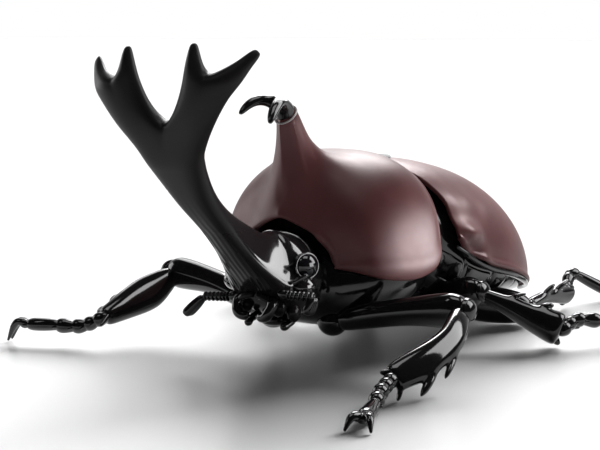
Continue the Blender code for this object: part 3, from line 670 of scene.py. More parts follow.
def strip(points, depth, rearward):
    """Front and back corners over a row of points across the horn, thinner at its two edges."""
    last = len(points) - 1
    thick = [depth] * (last + 1)
    if last > 2:
        thick[1] = thick[last - 1] = depth * 0.9
    thick[0] = thick[last] = depth * 0.45
    front = [spot(*(lean(p) - rearward * d)) for p, d in zip(points, thick)]
    back = [spot(*(lean(p) + rearward * d)) for p, d in zip(points, thick)]
    return front + back


UPRIGHT = Vector((0.0, 0.97, 0.25))
FORK_ROW = (
    (-5.0, -36.9, 27.3),
    (-3.0, -37.1, 28.2),
    (0.0, -37.3, 29.0),
    (3.0, -37.1, 28.2),
    (5.0, -36.9, 27.3),
)
BRANCH_ROWS = (
    ((1.75, -37.9, 30.9), (4.3, -37.9, 30.2), (6.7, -37.7, 29.3)),
    ((2.85, -38.2, 33.3), (6.4, -38.4, 34.3), (8.7, -37.9, 31.9)),
)
INNER_ROWS = (
    ((3.35, -38.4, 34.9), (5.75, -38.4, 35.1)),
    ((3.75, -38.4, 36.4), (5.35, -38.4, 36.3)),
    ((4.15, -38.3, 37.7), (4.9, -38.3, 37.7)),
)
OUTER_ROWS = (
    ((8.0, -38.0, 34.9), (9.9, -37.5, 33.1)),
    ((9.3, -37.0, 35.7), (10.7, -36.7, 34.9)),
    ((10.7, -36.0, 37.0), (11.5, -35.85, 36.2)),
)
FORK_DEPTH = 1.35
BRANCH_DEPTHS = (1.3, 1.25)
TINE_DEPTHS = (1.1, 0.85, 0.5)

horn = cage("head_and_horn", rings, 9)
fork = strip(spread(FORK_ROW, 9), FORK_DEPTH, UPRIGHT)
raise_end(horn, rings[-1], fork)
ends = chosen(horn)
for side in (1.0, -1.0):
    half = [c for c in ends if (c.x - CENTRE.x) * side > 0]
    choose(horn, half)
    old = [fork[i] for i in range(18) if (fork[i].x - CENTRE.x) * side > -1e-6]
    for row, depth in zip(BRANCH_ROWS, BRANCH_DEPTHS):
        new = strip(spread(on_side(side, row), 5), depth, UPRIGHT)
        middle = sum(o.y for o in old) / len(old)
        pairs = sorted(old, key=lambda v: (v.y > middle, (v.x - CENTRE.x) * side))
        raise_end(horn, pairs, new)
        old = new
    tips = sorted(chosen(horn), key=lambda c: abs(c.x - CENTRE.x))
    for pair, rows, keep in ((tips[:2], INNER_ROWS, INNER_HALF), (tips[2:], OUTER_ROWS, OUTER_HALF)):
        choose(horn, pair)
        last = [old[i] for i in keep]
        for row, depth in zip(rows, TINE_DEPTHS):
            new = strip(spread(on_side(side, row), 3), depth, UPRIGHT)
            raise_end(horn, last, new)
            last = new
close(horn, 3)

# Round each eye the same moulding has a raised ring, with a bar that runs on to the brow. Below them
# lie a cheek, two lobes and half of the arched lip.
SIDES = (("left", 1.0), ("right", -1.0))
EYE = (4.75, -18.4, 11.9)
EYE_RADII = (1.5, 1.6, 1.55)
ORBIT_RADII = (1.46, 0.2)
ORBIT_WAY = (0.9, -0.42, 0.1)
BAR = ((4.6, -20.9, 10.1), (5.3, -20.4, 10.6), (5.9, -19.7, 11.1))
BAR_SIZES = ((0.0, 0.3, 0.2), (1.0, 0.26, 0.2))
LUMPS = (
    ("cheek", (5.0, -19.1, 9.5), (1.4, 1.5, 1.3)),
    ("lobe", (2.4, -20.6, 7.0), (1.0, 0.8, 1.1)),
    ("lobe", (3.6, -19.2, 6.3), (0.85, 0.95, 1.15)),
)
ARCH = ((0.2, -21.9, 8.5), (1.4, -22.1, 8.3), (2.5, -21.9, 7.6))
ARCH_SIZES = ((0.0, 0.45, 0.45), (1.0, 0.35, 0.35))


head_parts = [horn]
for side in (1.0, -1.0):
    orbit = hoop("orbit", ORBIT_RADII, (40, 12))
    outward = Vector(on_side(side, [ORBIT_WAY])[0]).normalized()
    orbit.data.transform(outward.to_track_quat("Z", "Y").to_matrix().to_4x4())
    orbit.data.transform(Matrix.Translation(spot(EYE[0] * side + 0.35 * side, EYE[1] - 0.25, EYE[2])))
    smooth(orbit, 1)
    head_parts.append(orbit)
    head_parts.append(limb("canthus", on_side(side, BAR), BAR_SIZES, stations=4))
    for name, centre, radii in LUMPS:
        head_parts.append(ball(name, on_side(side, [centre])[0], radii))
    head_parts.append(limb("lip", on_side(side, ARCH), ARCH_SIZES, stations=4))
head_nodes = ("head", "horn_stem", "horn_branch_left", "horn_branch_right")
dress(gather("head_skin", head_parts), horn_look, "black", *head_nodes)


# The eyes are small glossy domes of a deeper black than the head. Each is a piece of its own that is
# let into the raised ring on its side of the head.
eye_look, eye_shader, eye_place = new_look("eye", 0.04, (0.004, 0.004, 0.005), IOR=1.55)
feed(eye_shader, "Roughness", noise(eye_place, 1500.0) * 0.03 + 0.03)
for side_name, side in SIDES:
    eye = ball("eyeball_" + side_name, (EYE[0] * side, EYE[1], EYE[2]), EYE_RADII)
    dress(eye, eye_look, "eye", "eye_" + side_name)


# The antennae are stiff black plastic: a smooth first joint, seven flat beads on a thin core, and a
# blunt club of three leaves that folds back.
ANTENNA = {
    "left": ((3.0, -21.5, 9.0), (4.4, -21.4, 8.8), (7.7, -20.8, 8.8), (7.0, -21.3, 6.8)),
    "right": ((-3.0, -21.0, 8.0), (-4.3, -21.5, 7.8), (-7.5, -22.0, 7.6), (-9.5, -23.0, 5.3)),
}
SCAPE = ((0.0, 0.5, 0.5), (0.4, 0.66, 0.62), (1.0, 0.42, 0.42))
BEADS = 7
BEAD_STEP = 0.078
BEAD_RADII = (0.17, 0.52, 0.6)
LEAF = ((0.0, 0.42, 0.4), (0.5, 0.58, 0.46), (0.9, 0.58, 0.46), (1.0, 0.5, 0.4))

for side_name, (root, middle, bend, tip) in ANTENNA.items():
    path = [(0.0, *root), (0.5, *middle), (1.0, *bend)]
    parts = [limb("scape", (root, middle), SCAPE, stations=4)]
    for k in range(BEADS):
        parts.append(ball("bead", flow(path, 0.5 + BEAD_STEP * k), BEAD_RADII, 0))
    parts.append(limb("core", (middle, bend), ((0.0, 0.3, 0.3), (1.0, 0.3, 0.3)), stations=3))
    stalk = gather("antenna_stalk_" + side_name, parts)
    blacken(stalk, "antenna_" + side_name)
    bend, tip = Vector(bend), Vector(tip)
    leaves = []
    for turn in (-0.2, 0.0, 0.2):
        off = Vector((turn * 0.5, turn, 0.1 * turn))
        course = (bend + off * 0.4, (bend + tip) / 2 + off, tip + off)
        leaves.append(limb("leaf", course, LEAF, stations=5))
    blacken(gather("club_" + side_name, leaves), "antenna_club_" + side_name)


# The mouthparts hang below the head: a flat chin plate, and on each side a curved jaw and a feeler of
# glossy black plastic.
CHIN = ((0.0, -16.4, 5.2), (0.0, -18.2, 5.0), (0.0, -19.8, 5.2))
CHIN_SIZES = ((0.0, 1.5, 0.7), (0.5, 1.8, 0.8), (1.0, 1.3, 0.65))
JAW = ((2.1, -21.0, 8.2), (2.55, -22.2, 7.2), (1.75, -22.5, 5.95), (0.6, -22.3, 6.2))
JAW_SIZES = ((0.0, 0.8, 0.8), (0.5, 0.72, 0.66), (0.85, 0.6, 0.5), (1.0, 0.4, 0.36))
FEELER = ((2.5, -17.6, 5.6), (2.8, -18.9, 4.9), (2.5, -20.2, 4.5))
FEELER_SIZES = (
    (0.0, 0.42, 0.42),
    (0.45, 0.5, 0.5),
    (0.55, 0.36, 0.36),
    (0.8, 0.55, 0.55),
    (1.0, 0.4, 0.4),
)

blacken(limb("chin", CHIN, CHIN_SIZES, wide=(1, 0, 0), sides=10), "mentum")
for side_name, side in SIDES:
    jaw = limb("jaw_" + side_name, on_side(side, JAW), JAW_SIZES)
    blacken(jaw, "mandible_" + side_name)
    feeler = limb("feeler_" + side_name, on_side(side, FEELER), FEELER_SIZES, stations=10)
    blacken(feeler, "palp_" + side_name)


# The breast under the pronotum, one smooth black moulding that fills the shell. Its places are (y,
# half-width, middle, top, bottom).
BREAST = (
    (-15.6, 4.6, 8.2, 11.6, 5.0),
    (-13.4, 7.4, 8.4, 14.0, 3.9),
    (-10.0, 10.4, 8.6, 17.0, 3.1),
    (-6.0, 11.4, 8.8, 19.0, 3.4),
    (-2.0, 11.4, 9.6, 20.0, 4.2),
    (0.2, 10.8, 10.4, 20.0, 5.2),
)
BREAST_STEPS = 9
BREAST_SIDES = 16
BREAST_POWER = 2.2

start, end = BREAST[0][0], BREAST[-1][0]
full = overdraw(BREAST_SIDES)
rings = []
for k in range(BREAST_STEPS + 1):
    y = start + (end - start) * k / BREAST_STEPS
    half, middle, top, bottom = flow(BREAST, y)
    ring = []
    for i in range(BREAST_SIDES):
        u, v = squarish(2 * math.pi * i / BREAST_SIDES, BREAST_POWER)
        reach = (top - middle if v > 0 else middle - bottom) * full
        ring.append(spot(u * half * full, y, middle + v * reach))
    rings.append(ring)
blacken(tube("breast", rings), "prosternum")


# The wing cases are two thin brown shells that meet at the middle seam. Each has a bead along its outer
# rim and low lumps and a dent at the shoulder, and lies on a black hem that shows under the rim.
CASES = (
    (1.3, 12.2, 12.9, 22.4),
    (4.0, 13.2, 11.2, 22.7),
    (9.0, 13.8, 9.2, 22.2),
    (16.0, 14.2, 7.3, 20.4),
    (22.0, 13.2, 5.4, 17.2),
    (27.0, 10.6, 3.6, 12.6),
    (29.9, 7.0, 2.8, 8.4),
    (31.6, 3.4, 2.6, 5.8),
)
CASE_COLUMNS = 30
CASE_ROWS = 40
CASE_WALL = 0.6
CASE_POWER = 2.3
SHOULDER_SET_BACK = 2.0
SHOULDER_REACH = 9.0
CASE_LUMPS = (
    ((12.9, 3.4, 13.8), 0.9, 1.0),
    ((13.2, 5.3, 13.4), 1.05, 0.95),
    ((13.5, 7.2, 13.1), 0.7, 0.95),
    ((13.4, 4.8, 11.4), -0.75, 0.8),
    ((13.6, 6.8, 11.2), -0.75, 0.8),
    ((13.7, 8.6, 9.9), 0.45, 1.0),
    ((11.7, 3.6, 18.0), 0.22, 1.2),
    ((12.2, 7.5, 17.4), 0.25, 1.3),
    ((12.6, 11.5, 16.4), 0.2, 1.5),
)
SEAM = 0.07
HEM_PLACES = (2.2, 4.0, 7.0, 11.0, 16.0, 21.0, 25.0, 28.5)
HEM_SIZES = ((0.0, 0.3, 0.3), (0.3, 0.42, 0.4), (1.0, 0.34, 0.3))
HEM_INSET = (0.32, 0.22)


def shoulder_fade(y):
    """How far the cases' front corners stand back here."""
    return SHOULDER_SET_BACK * max(0.0, 1 - (y - CASES[0][0]) / SHOULDER_REACH)


def case_point(side):
    def point(across, along):
        s = across if side > 0 else 1 - across
        s, bead = banded(s, CASE_COLUMNS)
        t, end_bead = banded(along, CASE_ROWS)
        y = CASES[0][0] + (CASES[-1][0] - CASES[0][0]) * t
        half, margin, crest = flow(CASES, y)
        bead = bead if s > 0.5 else 0.0
        u, v = squarish(math.pi / 2 * (1 - s), CASE_POWER)
        fade = shoulder_fade(y)
        x = max(u * (half + bead), SEAM)
        z = margin + v * (crest + bead - margin)
        y += fade * u * u
        lump = 0.0
        for centre, rise, spread in CASE_LUMPS:
            away = (Vector((x, y, z)) - Vector(centre)).length_squared
            lump += rise * math.exp(-away / (2 * spread * spread))
        return spot(side * (x + lump * u), y, z + lump * v)

    return point


for side_name, side in SIDES:
    case = sheet("wing_case_" + side_name, CASE_COLUMNS, CASE_ROWS, case_point(side))
    finish_with(case, "SOLIDIFY", thickness=CASE_WALL * MM, offset=-1.0)
    smooth(case, 2)
    dress(case, brown, "brown", "elytron_" + side_name)
    margin_line = []
    for y in HEM_PLACES:
        half, margin, crest = flow(CASES, y)
        margin_line.append((side * (half - HEM_INSET[0]), y + shoulder_fade(y), margin - HEM_INSET[1]))
    blacken(limb("hem_" + side_name, margin_line, HEM_SIZES, stations=16), "pterothorax")


# The scutellum is the small triangle between the roots of the wing cases, a thin glossy black plate
# with rounded edges that lies over their front corners.
SCUTELLUM = ((0.6, 3.5), (2.5, 3.3), (5.0, 2.2), (7.6, 0.4))
SCUTELLUM_RISE = 0.42
TOP_EDGE = ((-1, 0.35), (-0.8, 0.05), (0, 0.0), (0.8, 0.05), (1, 0.35))
UNDER_EDGE = ((0.8, 1.6), (0, 1.6), (-0.8, 1.6))

plate_rings = []
for y, half in SCUTELLUM:
    crest = flow(CASES, y)[2] + SCUTELLUM_RISE
    plate_rings.append([spot(x * half, y, crest - drop) for x, drop in TOP_EDGE + UNDER_EDGE])
blacken(tube("scutellum_plate", plate_rings), "scutellum")


# The trunk under the wing cases: the hind thorax with its plates, the belly in overlapping segments,
# and the tail plate. All are glossy black. A place along the trunk is (y, how much it is drawn in).
BELLY = ((0.6, 5.8), (3.0, 4.2), (7.0, 3.3), (12.0, 3.0), (18.0, 2.8), (23.0, 2.5), (29.6, 2.0), (31.4, 2.1))
TRUNK_INSET = 1.3
TRUNK_SIDES = 20
CHEST_NECK = [(-0.9, 1.8), (-0.5, 1.3), (1.0, 0.9)]
CHEST_MIDDLE = [(2.0, 0.0), (4.0, 0.0), (6.4, 0.0), (6.6, 0.25), (6.8, 0.0), (9.0, 0.0), (11.4, 0.0)]
CHEST_END = [(13.2, 0.0), (13.6, 0.5)]
CHEST_PLATES = (
    ((1.6, 6.4), (-4, -24)),
    ((6.9, 12.6), (-4, -22)),
    ((1.8, 12.4), (-27, -46)),
    ((2.0, 12.2), (-49, -66)),
)
PLATE_RISE = 0.3
PLATE_WALL = 0.3
BELLY_RINGS = ((13.4, 16.8), (16.8, 20.2), (20.2, 23.4), (23.4, 26.4), (26.4, 29.5))
TAIL = [(29.4, 0.4), (29.6, 0.05), (30.4, 0.0), (31.2, 0.2), (31.4, 0.8)]


def trunk_point(y, angle, shrink=0.0, full=1.0):
    """A point of the trunk's skin, which follows the wing cases a little inside them."""
    half, middle, crest = flow(CASES, y - shoulder_fade(y))
    u, v = squarish(angle, CASE_POWER)
    reach = (crest - TRUNK_INSET - middle if v > 0 else middle - flow(BELLY, y)[0]) - shrink
    return spot(u * (half - TRUNK_INSET - shrink) * full, y, middle + v * reach * full)


def trunk_rings(places):
    """Rings round the trunk at these places."""
    full = overdraw(TRUNK_SIDES)
    turns = [2 * math.pi * i / TRUNK_SIDES for i in range(TRUNK_SIDES)]
    return [[trunk_point(y, turn, shrink, full) for turn in turns] for y, shrink in places]


def plate(y_ends, angles, side):
    """A slightly raised plate with rounded edges on one side of the trunk."""

    def place(across, along):
        angle = math.radians(angles[0] + (angles[1] - angles[0]) * across)
        y = y_ends[0] + (y_ends[1] - y_ends[0]) * along
        edge = min(across, along, 1 - across, 1 - along)
        height = PLATE_RISE * (1.0 if edge > 0.08 else -0.6)
        return trunk_point(y, math.pi - angle if side < 0 else angle, -height)

    piece = sheet("chest_plate", 8, 8, place)
    finish_with(piece, "SOLIDIFY", thickness=PLATE_WALL * MM, offset=-1.0 if side > 0 else 1.0)
    smooth(piece, 2)
    return piece


chest_parts = [tube("hind_chest", trunk_rings(CHEST_NECK + CHEST_MIDDLE + CHEST_END))]
for side in (1.0, -1.0):
    for y_ends, angles in CHEST_PLATES:
        chest_parts.append(plate(y_ends, angles, side))
blacken(gather("hind_chest", chest_parts), "pterothorax")
belly_places = [(13.2, 0.5)]
for start, end in BELLY_RINGS:
    belly_places += [(start + 0.1, 0.3), (start + 0.35, 0.0), ((start + end) / 2, 0.0)]
    belly_places += [(end - 0.15, -0.12), (end, 0.1)]
blacken(tube("belly", trunk_rings(belly_places)), "abdomen")
blacken(tube("tail_plate", trunk_rings(TAIL)), "pygidium")


# The legs are glossy black plastic, each of five pushed-together pieces: a round coxa, a flattened
# femur, a toothed tibia, a tarsus of five flared joints, and a pair of claws that stand on the floor.
LEGS = {
    "front_left": {
        "coxa": (4.4, -12.2, 4.3),
        "knee": (21.8, -12.0, 7.4),
        "shin": ((23.4, -16.8, 5.3), (23.0, -21.8, 3.6)),
        "ankle": (21.4, -26.3, 2.2),
        "foot": ((21.9, -29.2, 1.6), (23.4, -33.2, 1.0), (24.9, -37.4, 0.95)),
        "teeth": (0.5, -0.2, -0.75),
    },
    "front_right": {
        "coxa": (-4.4, -12.2, 4.3),
        "knee": (-21.6, -10.4, 7.6),
        "shin": ((-21.9, -15.0, 5.7), (-22.1, -19.4, 4.6)),
        "ankle": (-22.5, -23.2, 3.5),
        "foot": ((-25.4, -24.4, 2.3), (-28.8, -26.2, 2.4), (-31.8, -27.2, 2.3)),
        "teeth": (-0.8, 0.55, 0.25),
        "blade_way": (-0.54, -0.25, 0.81),
        "blade": (
            (0.0, 1.1, 1.0),
            (0.15, 1.6, 1.05),
            (0.4, 2.2, 1.05),
            (0.6, 2.0, 1.0),
            (0.8, 1.6, 0.95),
            (1.0, 1.15, 0.85),
        ),
        "bow": 0.9,
        "claw_spread": 0.4,
    },
    "middle_left": {
        "coxa": (5.2, 4.6, 4.3),
        "knee": (14.6, 5.0, 6.3),
        "shin": ((18.4, 5.9, 4.9), (22.2, 6.9, 3.2)),
        "ankle": (25.2, 7.8, 2.1),
        "foot": ((25.9, 10.4, 3.1), (28.6, 13.4, 2.6), (31.6, 17.6, 1.0)),
        "teeth": (0.3, 0.35, 0.87),
        "spurs": ((26.2, 10.6, 2.2), (24.9, 7.6, 0.35)),
    },
    "middle_right": {
        "coxa": (-5.2, 4.6, 4.3),
        "knee": (-16.0, 6.8, 6.9),
        "shin": ((-19.4, 8.6, 5.5), (-22.6, 10.6, 3.8)),
        "ankle": (-25.4, 12.4, 2.3),
        "foot": ((-27.0, 14.8, 2.6), (-29.2, 18.0, 1.8), (-31.4, 21.6, 1.0)),
        "teeth": (-0.3, 0.35, 0.87),
    },
    "hind_left": {
        "coxa": (6.2, 12.2, 3.2),
        "knee": (14.6, 18.4, 2.1),
        "shin": ((14.8, 23.4, 2.7), (14.8, 28.4, 2.4)),
        "ankle": (14.6, 32.4, 1.9),
        "foot": ((13.1, 35.0, 2.8), (12.8, 37.4, 4.0), (14.6, 39.2, 2.8), (17.0, 41.6, 1.0)),
        "teeth": (0.5, -0.1, 0.85),
    },
    "hind_right": {
        "coxa": (-6.2, 12.2, 3.2),
        "knee": (-15.4, 19.4, 3.2),
        "shin": ((-16.4, 23.4, 3.2), (-17.3, 27.6, 2.7)),
        "ankle": (-18.0, 31.2, 2.2),
        "foot": ((-18.6, 34.2, 2.8), (-19.8, 37.2, 2.0), (-21.6, 40.6, 1.0)),
        "teeth": (-0.5, -0.1, 0.85),
    },
}
COXA_RADII = (1.95, 1.95, 1.85)
FRONT_TEETH = ((0.5, 2.8), (0.76, 2.9), (0.98, 2.1))
SHIN_SPINES = ((0.4, 2.0), (0.66, 2.3))
KNEE_RIM = ((0.0, 1.5, 1.5), (0.6, 2.1, 2.0), (1.0, 1.6, 1.6))
KNEE_CAP = ((0.0, 1.4, 1.5), (0.5, 1.75, 1.85), (1.0, 1.1, 1.2))
FRONT_SHIN = ((0.0, 1.15, 1.05), (0.15, 1.45, 1.1), (0.5, 1.6, 1.1), (0.8, 1.8, 1.0), (1.0, 1.5, 0.9))
FRONT_STATIONS = (0.0, 0.06, 0.2, 0.33, 0.42, 0.55, 0.67, 0.8, 0.88, 0.97, 1.0)
STATIONS = (0.0, 0.06, 0.2, 0.34, 0.42, 0.56, 0.66, 0.8, 0.93, 1.0)


def femur(name, leg, front, hind):
    coxa, knee = Vector(leg["coxa"]), Vector(leg["knee"])
    way = (knee - coxa).normalized()
    start, end = coxa + way * 0.6, knee + way * 0.9
    bow = (start + end) / 2 + Vector((0.0, 0.0, leg.get("bow", 0.4 if front else 0.1)))
    swell = 0.5 if hind else -0.25 if front else 0.0
    sizes = (
        (0.0, 1.3, 1.2),
        (0.3, 1.8 + swell, 1.45),
        (0.6, 1.9 + swell, 1.45),
        (0.86, 2.05, 1.55),
        (1.0, 1.7, 1.4),
    )
    shell = limb("femur_shell", (start, bow, end), sizes, sides=10, stations=8, power=2.4)
    rim = limb("knee_rim", (knee - way * 0.3, knee + way * 1.1), KNEE_RIM, stations=4)
    cap = limb("knee_cap", (knee + way * 0.2, knee + way * 1.75), KNEE_CAP, stations=4)
    return gather("femur_shell_" + name, [shell, rim, cap])


def spine(root, tip, base, end):
    """A pointed tooth, flattened where it starts."""
    sizes = ((0.0, base, base * 0.6), (0.55, base * 0.62, base * 0.42), (1.0, end, end))
    return limb("spine", (root, (root + tip) / 2, tip), sizes, sides=6, stations=4)


def grow_tooth(piece, place, tip):
    """Draws a webbed tooth out of the face nearest to a place, in edit mode."""
    work = edited(piece)
    goal, end = spot(*place), spot(*tip)
    nearest = min((f.calc_center_median().copy() for f in work.faces), key=lambda c: (c - goal).length)
    choose(piece, [nearest])
    for share, scale in ((0.35, 1.15), (0.55, 0.8), (1.0, 0.55)):
        bpy.ops.mesh.extrude_region_move()
        work = edited(piece)
        corners = [v for v in work.verts if v.select]
        middle = sum((v.co for v in corners), Vector()) / len(corners)
        shift = (end - middle) * share
        for vert in corners:
            vert.co = middle + (vert.co - middle) * scale + shift
        bmesh.update_edit_mesh(piece.data)


def tibia(name, leg, front):
    knee, ankle = Vector(leg["knee"]), Vector(leg["ankle"])
    course = [knee, *(Vector(p) for p in leg["shin"]), ankle]
    way = Vector(leg["teeth"]).normalized()
    blade = Vector(leg.get("blade_way", way)).normalized()
    if front:
        sizes, stations, teeth = leg.get("blade", FRONT_SHIN), FRONT_STATIONS, FRONT_TEETH
    else:
        thin = 0.68 if name.startswith("hind") else 1.0
        sizes = (
            (0.0, 0.85, 0.8),
            (0.2, 0.95, 0.85),
            (0.5, 1.4 * thin, 1.1 * thin),
            (0.8, 1.9 * thin, 1.4 * thin),
            (1.0, 2.3 * thin, 1.75 * thin),
        )
        stations, teeth = STATIONS, SHIN_SPINES
    shin = limb("shin", course, sizes, wide=blade, at=stations, levels=0, power=2.3)
    go_to("EDIT")
    stops = even_stops(course)
    along = (ankle - course[-2]).normalized()
    for share, reach in teeth:
        middle = Vector(flow(stops, share - 0.03))
        tip = Vector(flow(stops, share)) + way * (reach + 0.35) + along * 0.6
        grow_tooth(shin, middle + way * 1.6, tip)
    go_to("OBJECT")
    smooth(shin, 3)
    parts = [shin]
    if not front:
        for turn in (-1.0, 1.0):
            root = ankle - along * 2.0 + way * turn * 0.6
            tip = ankle + along * 0.2 + way * turn * 1.95 * thin
            tip.z = max(tip.z, 0.3)
            if "spurs" in leg:
                tip = Vector(leg["spurs"][0 if turn > 0 else 1])
            parts.append(spine(root, tip, 1.2, 0.25))
    else:
        parts.append(spine(ankle - along * 1.2, ankle + along * 1.1 - way * 1.3, 0.8, 0.2))
    return gather("tibia_shell_" + name, parts)


TARSUS_JOINTS = (0.0, 0.14, 0.28, 0.43, 0.6, 1.0)
PAD_RADII = (0.66, 0.66, 0.56)
CLAW = ((0.0, 0.62, 0.6), (0.45, 0.5, 0.48), (1.0, 0.14, 0.14))


def tarsus(name, leg):
    path = [Vector(p) for p in (leg["ankle"], *leg["foot"])]
    stops = even_stops(path)
    parts = []
    for k, (start, end) in enumerate(zip(TARSUS_JOINTS, TARSUS_JOINTS[1:])):
        here, there = Vector(flow(stops, start)), Vector(flow(stops, end))
        middle = Vector(flow(stops, (start + end) / 2))
        along = (there - here).normalized()
        wide = 1.05 if k < 4 else 0.85
        sizes = ((0.0, 0.6, 0.6), (0.3, 0.78, 0.74), (0.75, wide, 0.95), (1.0, wide * 0.85, 0.8))
        course = (here - along * 0.7, middle, there + along * 0.1)
        parts.append(limb("joint", course, sizes, stations=5))
        across = along.cross(Vector((0, 0, 1))).normalized()
        for turn in (-1.0, 1.0):
            root = there - along * 0.7 + across * turn * 0.4
            tip = there + along * 0.4 + across * turn * 0.8 - Vector((0, 0, 0.2 if k < 4 else 0.0))
            tip.z = max(tip.z, 0.2)
            parts.append(spine(root, tip, 0.34, 0.12))
    return gather("foot_" + name, parts)


def claws(name, leg):
    end, before = Vector(leg["foot"][-1]), Vector(leg["foot"][-2])
    along = Vector((end.x - before.x, end.y - before.y, 0.0)).normalized()
    across = along.cross(Vector((0, 0, 1)))
    parts = [ball("pad", end + along * 0.4, PAD_RADII)]
    open_by = leg.get("claw_spread", 1.0)
    for turn in (-1.0, 1.0):
        root = end - along * 0.1 + across * turn * 0.15
        bend = end + along * 1.3 + across * turn * 0.9 * open_by + Vector((0.0, 0.0, 0.35))
        tip = end + along * 2.6 + across * turn * 1.35 * open_by
        tip.z = 0.16
        parts.append(limb("claw", (root, bend, tip), CLAW, sides=6))
    return gather("claw_pair_" + name, parts)


for name, leg in LEGS.items():
    front = name.startswith("front")
    blacken(ball("coxa_ball_" + name, leg["coxa"], COXA_RADII), "coxa_" + name)
    blacken(femur(name, leg, front, name.startswith("hind")), "femur_" + name)
    blacken(tibia(name, leg, front), "tibia_" + name)
    blacken(tarsus(name, leg), "tarsus_" + name)
    blacken(claws(name, leg), "claws_" + name)


# The floor is a plain pale sheet that goes on far behind the model, so that no edge of it shows. It
# is a little glossy, so it mirrors the backdrop.
FLOOR_SIZE = 6.0
FLOOR_PALE = (0.86, 0.86, 0.865)

floor = add("floor", bpy.ops.mesh.primitive_plane_add, size=FLOOR_SIZE)
floor_look, floor_shader, floor_place = new_look("pale floor", 0.3, FLOOR_PALE, IOR=1.35)
feed(floor_shader, "Roughness", noise(floor_place, 30.0) * 0.1 + 0.2)
floor.data.materials.append(floor_look)


# Studio light: a white backdrop behind the model in a dark room, two soft suns and a faint fill for
# the floor alone, and soft boxes all round. As with flags in a studio, some of these light one group
# of pieces only. A soft box is (place, the point it faces, (width, height), power, what it lights).
BACKDROP_WAY = (-0.57, 0.81, 0.12)
WHITE = (1.0, 1.0, 1.0, 1.0)
BACKDROP_GREY = (0.8, 0.8, 0.8, 1.0)
ROOM_GREY = (0.018, 0.018, 0.018, 1.0)

world = bpy.data.worlds.new("surround")
world.use_nodes = True
bpy.context.scene.world = world
back = world.node_tree.nodes["Background"]
seen = Socket(world.node_tree, world.node_tree.nodes.new("ShaderNodeLightPath").outputs["Is Camera Ray"])
ray = Socket(world.node_tree, world.node_tree.nodes.new("ShaderNodeTexCoord").outputs["Generated"])
facing = ray.node("ShaderNodeVectorMath", {"operation": "DOT_PRODUCT"}, in0=ray, in1=BACKDROP_WAY)
backdrop = ray.pick(facing, "Value").ramp(0.45, 0.95)
room = backdrop.between(ROOM_GREY, BACKDROP_GREY)
feed(back, "Color", seen.between(room, WHITE))


def group_of(name, state, *starts):
    """The pieces whose names start like this, as those a lamp lights or those it leaves out."""
    group = bpy.data.collections.new(name)
    for piece in bpy.data.objects:
        if piece.name.startswith(starts):
            group.objects.link(piece)
    for member in group.collection_objects:
        member.light_linking.link_state = state
    return group


apart = group_of("floor apart", "EXCLUDE", "floor")
alone = group_of("floor alone", "INCLUDE", "floor")
shells_apart = group_of("brown shells apart", "EXCLUDE", "floor", "wing_case", "shield")
shield_alone = group_of("shield alone", "INCLUDE", "shield")
cases_alone = group_of("wing cases alone", "INCLUDE", "wing_case")
hook_alone = group_of("hook alone", "INCLUDE", "hook")
head_alone = group_of("head alone", "INCLUDE", "head", "eye", "antenna", "club", "jaw", "chin", "feeler")

SUN_POWER = 6.6
SUN_SPREAD = 28
SUN_WAYS = ((-0.45, 0.76, 0.31), (-0.05, 0.85, 0.32))
FILL_POWER = 0.07
MIDDLE = (0.0, 0.0, 0.015)
SOFT_BOXES = {
    "right rear": ((0.1755, 0.147, 0.176), (0.0, -0.01, 0.015), (0.18, 0.235), 0.9, shells_apart),
    "flank": ((0.056, 0.034, 0.014), (0.0125, -0.011, 0.0137), (0.042, 0.03), 0.058, shield_alone),
    "shoulder": ((0.061, 0.058, 0.066), (0.013, 0.005, 0.014), (0.035, 0.035), 0.085, cases_alone),
    "eye side": ((0.1725, 0.002, 0.032), (0.005, -0.018, 0.012), (0.11, 0.11), 0.27, head_alone),
    "top rear": ((-0.08, 0.19, 0.21), MIDDLE, (0.12, 0.12), 0.72, apart),
    "rear left": ((-0.16, 0.15, 0.19), MIDDLE, (0.15, 0.13), 0.22, apart),
    "rear low": ((-0.17, 0.23, 0.11), MIDDLE, (0.2, 0.12), 0.035, apart),
    "overhead": ((0.02, -0.03, 0.3), MIDDLE, (0.16, 0.12), 0.2, apart),
    "hook": ((-0.03, 0.09, 0.128), (0.0, -0.018, 0.03), (0.16, 0.16), 0.6, hook_alone),
    "left": ((-0.275, -0.05, 0.07), (0.0, -0.01, 0.016), (0.13, 0.12), 0.17, apart),
    "high left": ((-0.08, -0.16, 0.2), (0.004, -0.02, 0.012), (0.03, 0.07), 0.03, apart),
}


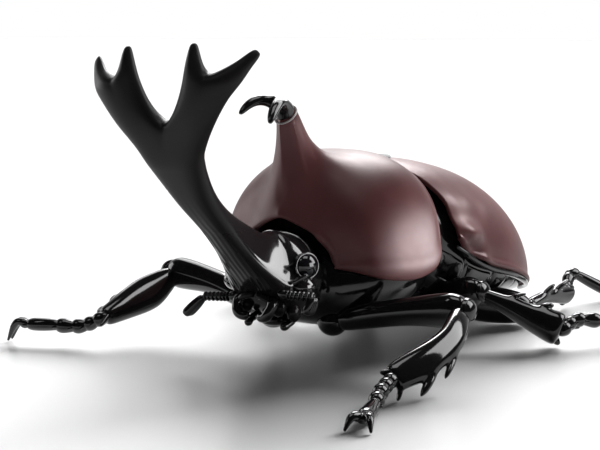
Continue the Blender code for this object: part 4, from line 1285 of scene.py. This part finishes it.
def add_lamp(name, kind, power, way, lit):
    """A lamp that shines from this direction and lights these pieces only."""
    light = bpy.data.lights.new(name, kind)
    light.energy = power
    lamp = bpy.data.objects.new(name, light)
    lamp.rotation_mode = "QUATERNION"
    lamp.rotation_quaternion = Vector(way).to_track_quat("Z", "Y")
    lamp.light_linking.receiver_collection = lit
    bpy.context.scene.collection.objects.link(lamp)
    return lamp


for way in SUN_WAYS:
    sun = add_lamp("floor sun", "SUN", SUN_POWER, way, alone)
    sun.data.angle = math.radians(SUN_SPREAD)
    sun.visible_glossy = False
fill = add_lamp("floor fill", "SUN", FILL_POWER, (0.0, 0.0, 1.0), alone)
fill.light_linking.blocker_collection = alone
for name, (place, aim, (wide, high), power, lit) in SOFT_BOXES.items():
    box = add_lamp(name, "AREA", power, Vector(place) - Vector(aim), lit)
    box.data.shape = "RECTANGLE"
    box.data.size, box.data.size_y = wide, high
    box.location = place
    box.visible_camera = False
bpy.context.scene.view_settings.view_transform = "Standard"


# The camera stands to the left front of the beetle, a little above it, and looks through a long lens.
# Its place is given from the point that it faces, by two angles and a distance.
AZIMUTH, ELEVATION, ROLL = 34.96, 7.61, -0.14
TARGET = (1.16, -14.39, 15.95)
DISTANCE = 0.18
FOCAL_SHARE = 1506.5 / 600
SENSOR = 36.0
NEAREST = 0.005

azimuth, elevation = math.radians(AZIMUTH), math.radians(ELEVATION)
level = math.cos(elevation)
away = Vector((math.sin(azimuth) * level, -math.cos(azimuth) * level, math.sin(elevation)))
lens = bpy.data.cameras.new("camera")
lens.sensor_width = SENSOR
lens.lens = SENSOR * FOCAL_SHARE
lens.clip_start = NEAREST
camera = bpy.data.objects.new("camera", lens)
camera.location = spot(*TARGET) + away * DISTANCE
camera.rotation_mode = "QUATERNION"
turn = (-away).to_track_quat("-Z", "Y").to_matrix() @ Matrix.Rotation(math.radians(ROLL), 3, "Z")
camera.rotation_quaternion = turn.to_quaternion()
bpy.context.scene.collection.objects.link(camera)
bpy.context.scene.camera = camera
